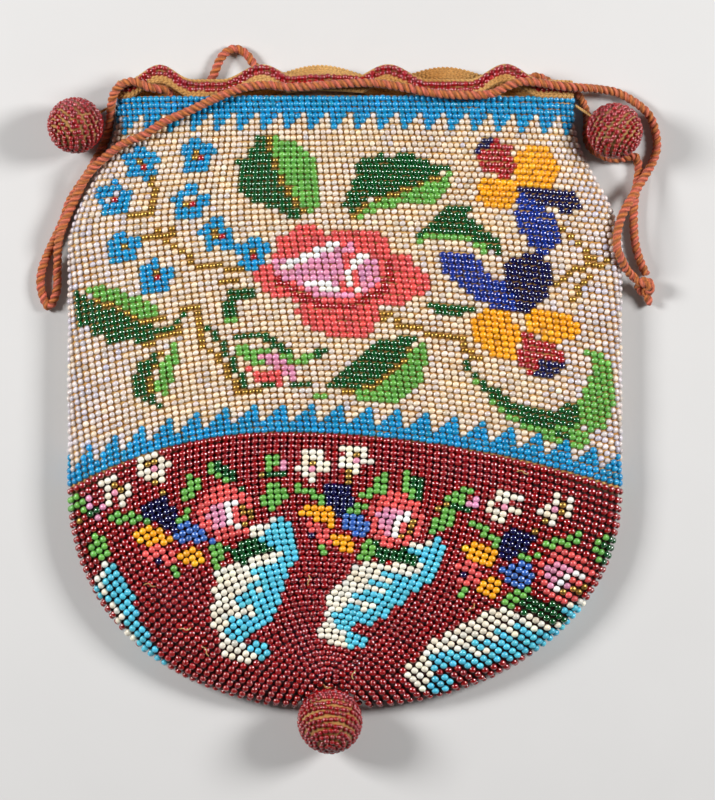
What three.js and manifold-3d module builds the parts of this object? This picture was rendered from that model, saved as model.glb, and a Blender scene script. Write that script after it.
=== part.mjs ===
// A bead-knit drawstring bag that lies flat on its back, with three beaded balls and a twisted drawstring.
// Millimetres, +Z up, the mouth of the bag towards +Y. The origin is under the middle of the bag.

import * as THREE from 'three';
import { ParametricGeometry } from 'three/addons/geometries/ParametricGeometry.js';
import { mergeVertices } from 'three/addons/utils/BufferGeometryUtils.js';
import Module from 'manifold-3d';

const wasm = await Module();
wasm.setup();

// Clearance between pieces that touch
const SEAT = 0.3;

// Outline of the flat bag, with depths measured down from the mouth
const MOUTH_WIDTH = 138;
const BAG_WIDTH = 167;
const SHOULDER_DEPTH = 6;
const SHOULDER_LENGTH = 39;
const BODY_LENGTH = 184;
const BASE_EDGE_DEPTH = 117;
const BASE_CENTRE_DEPTH = 100.5;
const BASE_SQUARENESS = 2.15;
const POLE_X = -4.5;
const ARCH_PEAK_X = -20;

// Thickness of the flat bag
const WALL = 2.2;
const MOUTH_THICKNESS = 12.5;
const BASE_THICKNESS = 13.5;
const EDGE_HEIGHT = 3.2;
const FLOOR_PRESS = 0.65;

// Bead courses, each of which stands as a ridge with a groove above and below it
const SIDE_COURSES = 60;
const BASE_COURSES = 46;
const RIDGE_HEIGHT = 0.3;
const GROOVE_DEPTH = 0.6;
const AROUND_STEPS = 24;
const LINING_STEPS = 12;

// Crochet strip and bead band round the mouth
const RIM_WALL = 2;
const RIM_EDGE_HEIGHT = 4.6;
const RIM_FLOOR = 3.1;
const STRIP_HEIGHT = 0.8;
const BAND_SEAT = 0.5;
const BAND_HEIGHT = 3.3;
const RIM_STEPS = 80;
// Eyelet arches, with places and half widths as shares of the mouth's width and rises as shares of the band
const FRONT_ARCHES = [
  { place: -0.402, half: 0.0725, rise: 1.36 },
  { place: -0.18, half: 0.087, rise: 1.36 },
  { place: -0.0435, half: 0.2175, rise: 0.6 },
  { place: 0.0935, half: 0.087, rise: 1.36 },
  { place: 0.348, half: 0.08, rise: 1.42 },
];
const BACK_ARCHES = [
  { place: -0.054, half: 0.16, rise: 1.39 },
  { place: 0.217, half: 0.145, rise: 1.21 },
];

// Beaded balls and the threads that they hang on
const SIDE_BALL_RADIUS = 8.6;
const BASE_BALL_RADIUS = 9.9;
const SIDE_BALL_GAP = 3.1;
const SIDE_BALL_X = MOUTH_WIDTH / 2 + SIDE_BALL_RADIUS + SIDE_BALL_GAP;
const LEFT_BALL_DEPTH = 8.7;
const RIGHT_BALL_DEPTH = 10.3;
const COVER_WALL = 1.7;
const CORE_CLEARANCE = 0.5;
const BALL_COURSES = 9;
const BALL_RIDGE = 0.3;
const BALL_STEPS = 16;
const THREAD_RADIUS = 0.5;
const THREAD_HOLE_RADIUS = 1.2;
const LEFT_ANCHOR_DEPTH = 2;
const LEFT_ANCHOR_HEIGHT = 2.4;
const RIGHT_ANCHOR_DEPTH = 2.5;
const RIGHT_ANCHOR_HEIGHT = 5;
const BASE_BALL_DROP = 3;
const BASE_BALL_OVERHANG = 1;
const BASE_THREAD_CLEARANCE = 0.12;

// Drawstring
const CORD_DIAMETER = 2.8;
const CORD_SIDES = 8;
const CORD_STEPS = 80;
const KNOT_RADIUS = 3.3;
const KNOT_TAIL_LENGTH = 3;
const KNOT_CENTRE = [90, -56.7, 3.3];

// The drawstring from the first front eyelet to the knot, with y measured from the mouth
const FRONT_CORD_ROUTE = [
  [-53.7, 1.9, 9.4], [-58.2, 2.4, 11.6], [-63.3, 4.2, 11.5], [-66.9, 3.3, 10.2], [-69.2, 0.6, 8.6],
  [-71.6, -11, 2], [-76.2, -20.7, 1.55], [-82.8, -30.9, 1.45], [-84.8, -36.6, 1.45], [-91.4, -52.2, 1.45],
  [-91.4, -58.2, 1.45], [-89.2, -62.8, 1.45], [-86.9, -58.5, 1.5], [-86.6, -51.6, 1.8],
  [-85.8, -42.3, 4.5], [-80.2, -28.8, 4.9], [-76.7, -22.8, 6.6], [-66.9, -14.7, 10.5], [-60, -11.8, 12],
  [-53.7, -7.8, 12.8], [-47.4, -5.1, 13.3], [-31.5, 1.8, 14.2], [-23.7, 3, 13.4], [-16.5, 2.3, 14.4],
  [8.4, 3.5, 14.6], [28.5, 0.3, 14.3], [43.5, 0.4, 13.6], [48, 2.4, 13.2],
  [52.5, 4, 13.1], [65.1, 2.8, 11], [77.7, 2.3, 3.8], [83.1, 1.1, 1.9], [91.5, -5.1, 1.5],
  [93.9, -13.6, 1.5], [93, -18.3, 1.8], [82.4, -37.2, 8.8], [81.4, -45.3, 9.5], [82.7, -48.6, 8.3],
  [84.6, -51.9, 5.4], [87.1, -54.3, 3.4],
];

// The drawstring from the knot, under the right ball, behind the back rim and round the standing loop
const BACK_CORD_ROUTE = [
  [90.5, -53, 2.2], [89, -49.4, 1.5], [87.5, -44.4, 1.45], [86.9, -37.2, 1.45], [87.1, -31.5, 1.45],
  [87.9, -25.8, 1.45], [88.4, -20.8, 1.45], [87.2, -17.6, 1.45], [84.2, -17.9, 1.45],
  [80.4, -18.2, 1.45], [76.8, -16.9, 1.45], [74, -14.9, 1.45], [72.8, -12, 1.45], [72.9, -8.6, 1.45],
  [72.8, -5.2, 1.45], [71.8, -2, 1.45], [70.2, 0.9, 1.45], [67.6, 2.8, 1.45], [63.9, 3.6, 1.45],
  [60.6, 5.3, 1.45], [57.6, 6.5, 1.45], [54.6, 5.3, 1.45], [51.3, 3.6, 1.45], [44, 3.3, 1.45],
  [30, 3.3, 1.45], [14, 3.3, 1.45], [-4.5, 3.3, 1.45], [-18.6, 3.5, 1.45], [-23.2, 4.8, 1.45],
  [-25.8, 7.5, 1.45], [-27.8, 10.6, 1.45], [-30, 13.5, 1.45], [-33.2, 14.9, 1.45], [-36.2, 13.5, 1.45],
  [-38, 10.9, 1.45], [-39.2, 7.8, 1.45], [-40.6, 5.1, 1.45], [-43, 3.4, 1.45],
];

const FINISH = {
  pearl: { color: 0xd8c5ae, roughness: 0.35, metalness: 0 },
  ruby: { color: 0x86101f, roughness: 0.25, metalness: 0 },
  thread: { color: 0xb88748, roughness: 0.9, metalness: 0 },
  wood: { color: 0x9a6b3c, roughness: 0.8, metalness: 0 },
  cord: { color: 0xd07a58, roughness: 0.85, metalness: 0 },
};

// A named mesh with a material of its own
function piece(name, geometry, finish) {
  const mesh = new THREE.Mesh(geometry, new THREE.MeshStandardMaterial(FINISH[finish]));
  mesh.name = name;
  return mesh;
}

// Solids for joining: the geometry's vertices merged by place alone
function solid(geometry) {
  const bare = geometry.clone();
  bare.deleteAttribute('normal');
  bare.deleteAttribute('uv');
  const merged = mergeVertices(bare);
  return new wasm.Manifold(new wasm.Mesh({
    numProp: 3,
    vertProperties: new Float32Array(merged.attributes.position.array),
    triVerts: new Uint32Array(merged.index.array),
  }));
}

// A buffer geometry from a joined solid
function geometryOf(joined) {
  const mesh = joined.getMesh();
  const geometry = new THREE.BufferGeometry();
  geometry.setAttribute('position', new THREE.BufferAttribute(new Float32Array(mesh.vertProperties), 3));
  geometry.setIndex(new THREE.BufferAttribute(new Uint32Array(mesh.triVerts), 1));
  return geometry;
}

// Where a step round the bag lies: how far across it is, from -1 to 1, how high, from 0 to 1, and the side
function roundPlace(u) {
  const angle = 2 * Math.PI * u;
  const across = Math.cos(angle);
  return {
    across,
    lift: Math.cbrt(Math.max(0, 1 - Math.abs(across) ** 3)),
    front: u <= 0.5,
  };
}

// The base ball lies in a round notch in the bag's lower edge, which it overhangs
const BASE_BALL_DEPTH = BODY_LENGTH + BASE_BALL_DROP;
const NOTCH_RADIUS = BASE_BALL_RADIUS - BASE_BALL_OVERHANG;
const BASE_POLE_DEPTH = BASE_BALL_DEPTH - NOTCH_RADIUS;

// How far the notch cuts into the lower edge at a distance from the pole
function notchDepth(offPole) {
  const rise = Math.sqrt(Math.max(0, NOTCH_RADIUS ** 2 - offPole ** 2));
  return Math.max(0, rise - BASE_BALL_DROP);
}

// Half the width of the bag at a depth below the mouth
function halfWidth(depth) {
  const shoulder = THREE.MathUtils.smoothstep(depth, SHOULDER_DEPTH, SHOULDER_DEPTH + SHOULDER_LENGTH);
  return THREE.MathUtils.lerp(MOUTH_WIDTH, BAG_WIDTH, shoulder) / 2;
}

// The two ends and the crown of a bead course; courses 0 to 1 are the sides, and 1 to 2 are the base
function courseLine(course, inset) {
  if (course <= 1) {
    const half = halfWidth(course * BASE_EDGE_DEPTH) - inset;
    return {
      crownX: ARCH_PEAK_X * course,
      crownDepth: BASE_CENTRE_DEPTH * course,
      left: -half,
      right: half,
      edgeDepth: BASE_EDGE_DEPTH * course,
      fullness: 1,
    };
  }
  const way = course - 1;
  const angle = way * Math.PI / 2;
  const power = 2 / BASE_SQUARENESS;
  const reach = Math.max(0, Math.cos(angle)) ** power;
  const drop = Math.sin(angle) ** power;
  const half = halfWidth(BASE_EDGE_DEPTH) - inset;
  const left = POLE_X + (-half - POLE_X) * reach;
  const right = POLE_X + (half - POLE_X) * reach;
  const offPole = Math.min(right - POLE_X, POLE_X - left);
  return {
    crownX: THREE.MathUtils.lerp(ARCH_PEAK_X, POLE_X, way),
    crownDepth: THREE.MathUtils.lerp(BASE_CENTRE_DEPTH, BASE_POLE_DEPTH - inset, way),
    left,
    right,
    edgeDepth: BASE_EDGE_DEPTH + (BODY_LENGTH - inset - BASE_EDGE_DEPTH) * drop - notchDepth(offPole),
    fullness: Math.sqrt(Math.max(0, 1 - way ** 2)),
  };
}

// A point of the bag's wall: inset 0 is its bead face, inset WALL its lining
function bagPoint(course, u, inset, ridge, target) {
  const place = roundPlace(u);
  const line = courseLine(course, inset - ridge);
  const end = place.across < 0 ? line.left : line.right;
  const side = Math.abs(place.across);
  const depth = THREE.MathUtils.lerp(line.crownDepth, line.edgeDepth, side * side);
  const thickness = THREE.MathUtils.lerp(MOUTH_THICKNESS, BASE_THICKNESS, Math.min(course, 1));
  const lift = place.lift * line.fullness;
  const above = thickness - EDGE_HEIGHT - inset + ridge;
  const below = EDGE_HEIGHT - inset + ridge;
  const pressed = inset > 0 ? WALL : 0;
  const height = place.front ? EDGE_HEIGHT + above * lift : EDGE_HEIGHT - below * lift - FLOOR_PRESS * lift;
  target.set(THREE.MathUtils.lerp(line.crownX, end, side), -depth, Math.max(pressed, height));
}

function bagBody() {
  const courses = SIDE_COURSES + BASE_COURSES;
  const faceSteps = 2 * courses;
  const rows = LINING_STEPS + faceSteps + 1;
  const courseAt = (share) => {
    const count = share * courses;
    return count < SIDE_COURSES ? count / SIDE_COURSES : 1 + (count - SIDE_COURSES) / BASE_COURSES;
  };
  const wall = (u, v, target) => {
    const row = Math.round(v * rows);
    if (row <= LINING_STEPS) {
      bagPoint(courseAt(1 - row / LINING_STEPS), u, WALL, 0, target);
      return;
    }
    const step = row - LINING_STEPS - 1;
    const course = courseAt(step / faceSteps);
    const { fullness } = courseLine(course, 0);
    const groove = step > 0 ? GROOVE_DEPTH : 0;
    bagPoint(course, u, 0, (step % 2 ? RIDGE_HEIGHT : -groove) * fullness ** 2, target);
  };
  return piece('bag_body', new ParametricGeometry(wall, AROUND_STEPS, rows), 'pearl');
}

// How far the rim is lifted into an arch at a place across the mouth
function archRise(x, front) {
  const arches = front ? FRONT_ARCHES : BACK_ARCHES;
  const rises = arches.map((arch) => {
    const off = Math.min(1, Math.abs(x / MOUTH_WIDTH - arch.place) / arch.half);
    return arch.rise * BAND_HEIGHT * (0.5 + 0.5 * Math.cos(Math.PI * off));
  });
  return Math.max(...rises);
}

// A ring round the mouth whose section is a closed outline of (outward, up) pairs
function mouthRing(section, low) {
  const ring = (u, v, target) => {
    const [outward, up] = section[Math.round(v * section.length) % section.length];
    const place = roundPlace(u);
    const inset = RIM_WALL - outward;
    const x = (MOUTH_WIDTH / 2 - inset) * place.across;
    const above = MOUTH_THICKNESS - inset - RIM_EDGE_HEIGHT;
    const below = RIM_EDGE_HEIGHT - RIM_FLOOR - inset;
    const height = place.front ? above * place.lift : -below * place.lift;
    target.set(x, low + up + archRise(x, place.front), RIM_EDGE_HEIGHT + height);
  };
  return new ParametricGeometry(ring, RIM_STEPS, section.length);
}

function eyeletStrip() {
  const section = [[0, 0], [0, STRIP_HEIGHT], [RIM_WALL, STRIP_HEIGHT], [RIM_WALL, 0]];
  return piece('eyelet_strip', mouthRing(section, SEAT), 'thread');
}

const BAND_LOW = SEAT + STRIP_HEIGHT + BAND_SEAT;

function rimBand() {
  const waist = RIM_WALL - RIDGE_HEIGHT;
  const bead = BAND_HEIGHT / 4;
  const section = [
    [0, 0], [0, BAND_HEIGHT], [waist, BAND_HEIGHT], [RIM_WALL, 3 * bead],
    [waist, 2 * bead], [RIM_WALL, bead], [waist, 0],
  ];
  return piece('rim_band', mouthRing(section, BAND_LOW), 'ruby');
}

// The bead net of a ball: ridged outside, open at the pole where its thread comes out
function ballCover(radius) {
  const innerRadius = radius - COVER_WALL;
  const profile = [];
  const ridges = 2 * BALL_COURSES;
  const openAngle = Math.asin(THREAD_HOLE_RADIUS / radius);
  for (let i = 0; i <= ridges; i += 1) {
    const polar = Math.PI + (openAngle - Math.PI) * i / ridges;
    const reach = i % 2 ? radius : radius - BALL_RIDGE;
    profile.push(new THREE.Vector2(i ? reach * Math.sin(polar) : 0, reach * Math.cos(polar)));
  }
  const innerOpen = Math.asin(THREAD_HOLE_RADIUS / innerRadius);
  const lining = BALL_COURSES;
  for (let i = 0; i <= lining; i += 1) {
    const polar = innerOpen + (Math.PI - innerOpen) * i / lining;
    const off = i < lining ? innerRadius * Math.sin(polar) : 0;
    profile.push(new THREE.Vector2(off, innerRadius * Math.cos(polar)));
  }
  return new THREE.LatheGeometry(profile, BALL_STEPS);
}

// A ball with its core and its thread, hung from an anchor on the bag
function beadedBall(name, radius, centre, anchor) {
  const hung = new THREE.Group();
  hung.position.copy(centre);
  const toAnchor = anchor.clone().sub(centre);
  const up = new THREE.Vector3(0, 1, 0);
  hung.quaternion.setFromUnitVectors(up, toAnchor.clone().normalize());
  const coreRadius = radius - COVER_WALL - CORE_CLEARANCE;
  const threadStart = coreRadius + SEAT;
  const threadLength = toAnchor.length() - SEAT - threadStart;
  const thread = new THREE.CylinderGeometry(THREAD_RADIUS, THREAD_RADIUS, threadLength, CORD_SIDES);
  thread.translate(0, threadStart + threadLength / 2, 0);
  hung.add(
    piece(`${name}_ball_cover`, ballCover(radius), 'ruby'),
    piece(`${name}_ball_core`, new THREE.SphereGeometry(coreRadius, BALL_STEPS, BALL_COURSES), 'wood'),
    piece(`${name}_ball_thread`, thread, 'thread'),
  );
  return hung;
}

// A point on the bag's folded side, seen at a depth and a height, with the side as -1 or 1
function sideAnchor(side, depth, height) {
  const rise = Math.max(0, height - EDGE_HEIGHT) / (MOUTH_THICKNESS - EDGE_HEIGHT);
  const across = Math.cbrt(1 - rise ** 3);
  return new THREE.Vector3(side * (halfWidth(depth) * across + RIDGE_HEIGHT), -depth, height);
}

function balls() {
  const all = new THREE.Group();
  all.add(
    beadedBall('left', SIDE_BALL_RADIUS,
      new THREE.Vector3(-SIDE_BALL_X, -LEFT_BALL_DEPTH, SIDE_BALL_RADIUS),
      sideAnchor(-1, LEFT_ANCHOR_DEPTH, LEFT_ANCHOR_HEIGHT)),
    beadedBall('right', SIDE_BALL_RADIUS,
      new THREE.Vector3(SIDE_BALL_X, -RIGHT_BALL_DEPTH, SIDE_BALL_RADIUS),
      sideAnchor(1, RIGHT_ANCHOR_DEPTH, RIGHT_ANCHOR_HEIGHT)),
    beadedBall('base', BASE_BALL_RADIUS,
      new THREE.Vector3(POLE_X, -BASE_BALL_DEPTH, BASE_BALL_RADIUS),
      new THREE.Vector3(POLE_X, -BASE_POLE_DEPTH - BASE_THREAD_CLEARANCE, EDGE_HEIGHT)),
  );
  return all;
}

// A tube along a route
function cord(name, route) {
  const corners = [];
  for (let i = 0; i < CORD_SIDES; i += 1) {
    const angle = 2 * Math.PI * i / CORD_SIDES;
    corners.push(new THREE.Vector2(Math.cos(angle), Math.sin(angle)).multiplyScalar(CORD_DIAMETER / 2));
  }
  const path = new THREE.CatmullRomCurve3(route.map((point) => new THREE.Vector3(...point)));
  const tube = new THREE.ExtrudeGeometry(new THREE.Shape(corners), {
    steps: CORD_STEPS,
    extrudePath: path,
    bevelEnabled: false,
  });
  return piece(name, tube, 'cord');
}

// The knot that ties both ends of the drawstring, with the cut tail below it
function drawstringKnot() {
  const ball = solid(new THREE.SphereGeometry(KNOT_RADIUS, BALL_STEPS, BALL_COURSES));
  const reach = KNOT_RADIUS + KNOT_TAIL_LENGTH;
  const tail = new THREE.CylinderGeometry(CORD_DIAMETER / 2, CORD_DIAMETER / 2, reach, CORD_SIDES);
  tail.translate(0, -reach / 2, 0);
  tail.rotateZ(Math.PI / 6);
  const knot = piece('drawstring_knot', geometryOf(ball.add(solid(tail))), 'cord');
  knot.position.set(...KNOT_CENTRE);
  return knot;
}

const bag = new THREE.Group();
bag.add(
  bagBody(),
  eyeletStrip(),
  rimBand(),
  balls(),
  cord('drawstring_front', FRONT_CORD_ROUTE),
  cord('drawstring_back', BACK_CORD_ROUTE),
  drawstringKnot(),
);

// The origin lies midway between the top of the rim and the foot of the base ball
const rimTop = BAND_LOW + BAND_HEIGHT * (1 + Math.max(...FRONT_ARCHES.map((arch) => arch.rise)));
const ballFoot = BASE_BALL_DEPTH + BASE_BALL_RADIUS;
bag.position.y = (ballFoot - rimTop) / 2;

const part = new THREE.Group();
part.add(bag);

export default part;
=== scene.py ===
"""A bead-knit drawstring bag with three beaded balls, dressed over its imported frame.

The bag lies flat on its back. Every bead is its own small glass barrel, placed on the same surface as the
solid bag and coloured from a drawn chart of flowers, leaves, horns and toothed borders. Lengths in the
shape classes are millimetres, as in the part's source, and become metres when a mesh is made.
"""

from __future__ import annotations
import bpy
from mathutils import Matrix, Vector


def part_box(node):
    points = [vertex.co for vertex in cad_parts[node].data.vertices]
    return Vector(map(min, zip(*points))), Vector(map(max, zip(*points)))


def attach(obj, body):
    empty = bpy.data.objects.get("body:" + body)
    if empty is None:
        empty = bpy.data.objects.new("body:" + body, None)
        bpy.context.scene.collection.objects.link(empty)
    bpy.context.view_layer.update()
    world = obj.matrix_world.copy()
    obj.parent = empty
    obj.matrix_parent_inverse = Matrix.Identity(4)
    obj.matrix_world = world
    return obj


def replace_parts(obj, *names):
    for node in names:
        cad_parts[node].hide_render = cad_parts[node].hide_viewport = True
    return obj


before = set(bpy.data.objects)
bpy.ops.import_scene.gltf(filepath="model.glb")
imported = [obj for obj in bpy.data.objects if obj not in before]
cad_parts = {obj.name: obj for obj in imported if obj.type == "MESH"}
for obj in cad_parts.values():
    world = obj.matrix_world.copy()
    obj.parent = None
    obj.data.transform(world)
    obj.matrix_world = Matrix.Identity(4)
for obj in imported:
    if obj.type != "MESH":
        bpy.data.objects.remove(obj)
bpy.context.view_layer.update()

import logging
import math
from dataclasses import dataclass, field, replace
from enum import Enum
from typing import ClassVar

import bpy
import numpy as np
from mathutils import Vector

LOG = logging.getLogger("beaded_bag")
MM = 0.001
SEED = 1840
MOUTH_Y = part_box("bag_body")[1][1] / MM
Point = tuple[float, float]
Span = tuple[float, float]
Triple = tuple[float, float, float]
Colour = tuple[int, int, int]
Triples = tuple[Triple, ...]
Array = np.ndarray
Rng = np.random.Generator
Piece = bpy.types.Object
Material = bpy.types.Material
Socket = bpy.types.NodeSocket
TINY = 1e-9
NO_LENGTH = 1e-12
FIBRE_SPAN = (0.3, 0.7)
FULL_SPAN = (0.0, 1.0)
RIM_UP = np.array([[0.0, 1.0, 0.0]])


class Finish(Enum):
    """The kinds of bead glass, with the share of its place that a bead fills."""

    PEARL = 0.97
    OPAQUE = 1.15
    RUBY = 1.06
    DEEP = 1.12
    GILT = 0.98


class Bead(Enum):
    """The bead colours: a number, the colour as it looks in daylight, and the kind of glass."""

    CREAM = (0, (236, 214, 184), Finish.PEARL)
    TURQUOISE = (1, (16, 140, 192), Finish.OPAQUE)
    PALE_BLUE = (2, (84, 194, 220), Finish.OPAQUE)
    DARK_GREEN = (3, (2, 82, 34), Finish.DEEP)
    LIGHT_GREEN = (4, (102, 168, 72), Finish.OPAQUE)
    CORAL = (5, (222, 84, 82), Finish.OPAQUE)
    PINK = (6, (220, 142, 172), Finish.OPAQUE)
    WHITE = (7, (248, 246, 240), Finish.OPAQUE)
    CHALK = (8, (240, 231, 212), Finish.OPAQUE)
    NAVY = (9, (6, 8, 70), Finish.DEEP)
    BLUE = (10, (14, 46, 140), Finish.DEEP)
    YELLOW = (11, (248, 166, 22), Finish.OPAQUE)
    GOLD = (12, (190, 150, 72), Finish.GILT)
    RED = (13, (170, 14, 18), Finish.RUBY)
    RUBY = (14, (148, 2, 6), Finish.RUBY)
    CORNFLOWER = (15, (54, 100, 180), Finish.DEEP)

    @property
    def number(self) -> int:
        """The number that stands for the colour in an array of beads."""
        return self.value[0]

    @property
    def daylight(self) -> Colour:
        """The colour as display values from 0 to 255."""
        return self.value[1]

    @property
    def finish(self) -> Finish:
        """The kind of glass."""
        return self.value[2]


def linear(colour: Colour) -> Triple:
    """Turns a display colour into the linear values that shaders use.

    Args:
        colour: red, green and blue from 0 to 255.

    Returns:
        The same colour as linear numbers from 0 to 1.
    """
    shares = [part / 255 for part in colour]
    red, green, blue = [s / 12.92 if s <= 0.04045 else ((s + 0.055) / 1.055) ** 2.4 for s in shares]
    return red, green, blue


def mix(low: Array | float, high: Array | float, share: Array | float) -> Array | float:
    """Goes from low to high by a share."""
    return low + (high - low) * share


def smooth_share(value: Array | float, low: float, high: float) -> Array:
    """Eases from 0 at low to 1 at high."""
    share = np.clip((np.asarray(value, float) - low) / (high - low), 0, 1)
    return share * share * (3 - 2 * share)


def unit(vectors: Array) -> Array:
    """Scales each row of vectors to length one."""
    return vectors / np.maximum(np.linalg.norm(vectors, axis=-1, keepdims=True), NO_LENGTH)


def run_along(line: Array) -> Array:
    """How far along a line each of its points lies."""
    return np.concatenate([[0], np.cumsum(np.linalg.norm(np.diff(line, axis=0), axis=1))])


def length_of(line: Array) -> float:
    """The whole length of a line."""
    return float(np.linalg.norm(np.diff(line, axis=0), axis=1).sum())


def loop_faces(rows: int, count: int, closed: bool = False) -> Array:
    """Joins rows of points, each a closed loop, by faces of four corners.

    Args:
        rows: how many rows there are.
        count: how many points each row has.
        closed: whether the last row joins the first.

    Returns:
        Four point numbers for each face.
    """
    row, place = np.meshgrid(np.arange(rows if closed else rows - 1), np.arange(count), indexing="ij")
    after = (place + 1) % count
    low = row * count
    high = (row + 1) % rows * count
    return np.stack([low + place, low + after, high + after, high + place], axis=-1).reshape(-1, 4)


def mesh_object(name: str, points: Array, faces: Array, smooth: bool = True) -> Piece:
    """Makes an object from points in millimetres and faces that all have the same number of corners.

    Args:
        name: the piece's name.
        points: corner points, one row each.
        faces: point numbers, one row for each face.
        smooth: whether the faces shade smoothly.

    Returns:
        The new object, linked to the scene, with a flat bake map seen from above.
    """
    corners = faces.shape[1]
    mesh = bpy.data.meshes.new(name)
    mesh.vertices.add(len(points))
    mesh.vertices.foreach_set("co", (points * MM).astype(np.float32).ravel())
    mesh.loops.add(faces.size)
    mesh.loops.foreach_set("vertex_index", faces.astype(np.int32).ravel())
    mesh.polygons.add(len(faces))
    mesh.polygons.foreach_set("loop_start", np.arange(0, faces.size, corners, dtype=np.int32))
    mesh.polygons.foreach_set("use_smooth", np.full(len(faces), smooth))
    mesh.update(calc_edges=True)
    mesh.validate()
    flat = points[:, :2] - points[:, :2].min(axis=0)
    flat = flat / max(flat.max(), TINY)
    bake_map = mesh.uv_layers.new(name="OFBake")
    bake_map.data.foreach_set("uv", flat[faces.ravel()].astype(np.float32).ravel())
    obj = bpy.data.objects.new(name, mesh)
    bpy.context.collection.objects.link(obj)
    return obj


def point_values(obj: Piece, name: str, values: Array) -> None:
    """Stores a number, or a colour of three numbers, at each point of a mesh.

    Args:
        obj: the piece.
        name: the name that its material reads.
        values: one row for each point.
    """
    if values.ndim == 1:
        layer = obj.data.attributes.new(name, "FLOAT", "POINT")
        layer.data.foreach_set("value", values.astype(np.float32))
        return
    layer = obj.data.attributes.new(name, "FLOAT_COLOR", "POINT")
    full = np.concatenate([values, np.ones((len(values), 1))], axis=1)
    layer.data.foreach_set("color", full.astype(np.float32).ravel())


def seat(obj: Piece, body: str, material: Material) -> Piece:
    """Gives a piece its material, its body and its material slot, and reports it.

    Args:
        obj: the piece.
        body: the body that it moves with.
        material: its finish.

    Returns:
        The same piece.
    """
    obj.data.materials.append(material)
    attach(obj, body)
    LOG.info("%s: %d faces on %s", obj.name, len(obj.data.polygons), body)
    return obj


class Nodes:
    """A small helper that builds a material's node tree in order."""

    def __init__(self, name: str) -> None:
        """Starts a material that ends in one principled shader.

        Args:
            name: the material's name.
        """
        self.material = bpy.data.materials.new(name)
        self.material.use_nodes = True
        self.tree = self.material.node_tree
        self.shader = self.tree.nodes["Principled BSDF"]

    def add(self, kind: str, **settings: object) -> bpy.types.Node:
        """Adds a node and sets its properties and input values by name.

        Args:
            kind: the node's type name.
            settings: properties of the node; a name that starts with in_ is the input of that name or number.

        Returns:
            The new node.
        """
        node = self.tree.nodes.new(kind)
        for key, value in settings.items():
            if not key.startswith("in_"):
                setattr(node, key, value)
        for key, value in settings.items():
            if key.startswith("in_"):
                label = key[3:].replace("_", " ")
                node.inputs[int(label) if label.isdigit() else label].default_value = value
        return node

    def join(self, source: Socket, target: Socket) -> None:
        """Links one socket to another."""
        self.tree.links.new(source, target)

    def attribute(self, name: str) -> bpy.types.Node:
        """Reads a value that is stored at the mesh's points."""
        return self.add("ShaderNodeAttribute", attribute_type="GEOMETRY", attribute_name=name)

    def scale(self, colour: Socket, factor: Socket) -> Socket:
        """Multiplies a colour by a number.

        Args:
            colour: the colour.
            factor: the number.

        Returns:
            The scaled colour.
        """
        node = self.add("ShaderNodeVectorMath", operation="SCALE")
        self.join(colour, node.inputs[0])
        self.join(factor, node.inputs["Scale"])
        return node.outputs[0]

    def ranged(self, value: Socket, span: Span, to: Span) -> Socket:
        """Maps a number from one range to another, held at the ends.

        Args:
            value: the number.
            span: the range that it comes from.
            to: the range that it goes to.

        Returns:
            The mapped number.
        """
        node = self.add("ShaderNodeMapRange", in_1=span[0], in_2=span[1], in_3=to[0], in_4=to[1])
        self.join(value, node.inputs[0])
        return node.outputs[0]

    def blend(self, low: Socket | Colour, high: Colour, share: Socket) -> Socket:
        """Goes from one colour to another by a share.

        Args:
            low: the colour at 0, as a socket or as display values.
            high: the colour at 1.
            share: the share.

        Returns:
            The blended colour.
        """
        node = self.add("ShaderNodeMix", data_type="RGBA")
        if isinstance(low, tuple):
            node.inputs["A"].default_value = (*linear(low), 1)
        else:
            self.join(low, node.inputs["A"])
        node.inputs["B"].default_value = (*linear(high), 1)
        self.join(share, node.inputs["Factor"])
        return node.outputs["Result"]

    def noise(self, scale: float, detail: float = 2.0) -> Socket:
        """Gives smooth noise over the object's own coordinates.

        Args:
            scale: turns per metre.
            detail: how many finer layers it has.

        Returns:
            The noise as a number.
        """
        place = self.add("ShaderNodeTexCoord")
        node = self.add("ShaderNodeTexNoise", in_Scale=scale, in_Detail=detail)
        self.join(place.outputs["Object"], node.inputs["Vector"])
        return node.outputs["Fac"]

    def dress(self, colour: Socket, rough: Socket) -> None:
        """Links the shader's colour and roughness."""
        self.join(colour, self.shader.inputs["Base Color"])
        self.join(rough, self.shader.inputs["Roughness"])

    def settle(self, **values: float) -> None:
        """Sets plain values on the shader's own sockets, with _ for a space in a socket's name."""
        for key, value in values.items():
            self.shader.inputs[key.replace("_", " ")].default_value = value

    def bump(self, height: Socket, depth: float, strength: float) -> None:
        """Raises the surface by a height value.

        Args:
            height: the height as a number from 0 to 1.
            depth: how high 1 stands, in metres.
            strength: how much of that is used.
        """
        node = self.add("ShaderNodeBump", in_Strength=strength, in_Distance=depth)
        self.join(height, node.inputs["Height"])
        self.join(node.outputs["Normal"], self.shader.inputs["Normal"])


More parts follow.
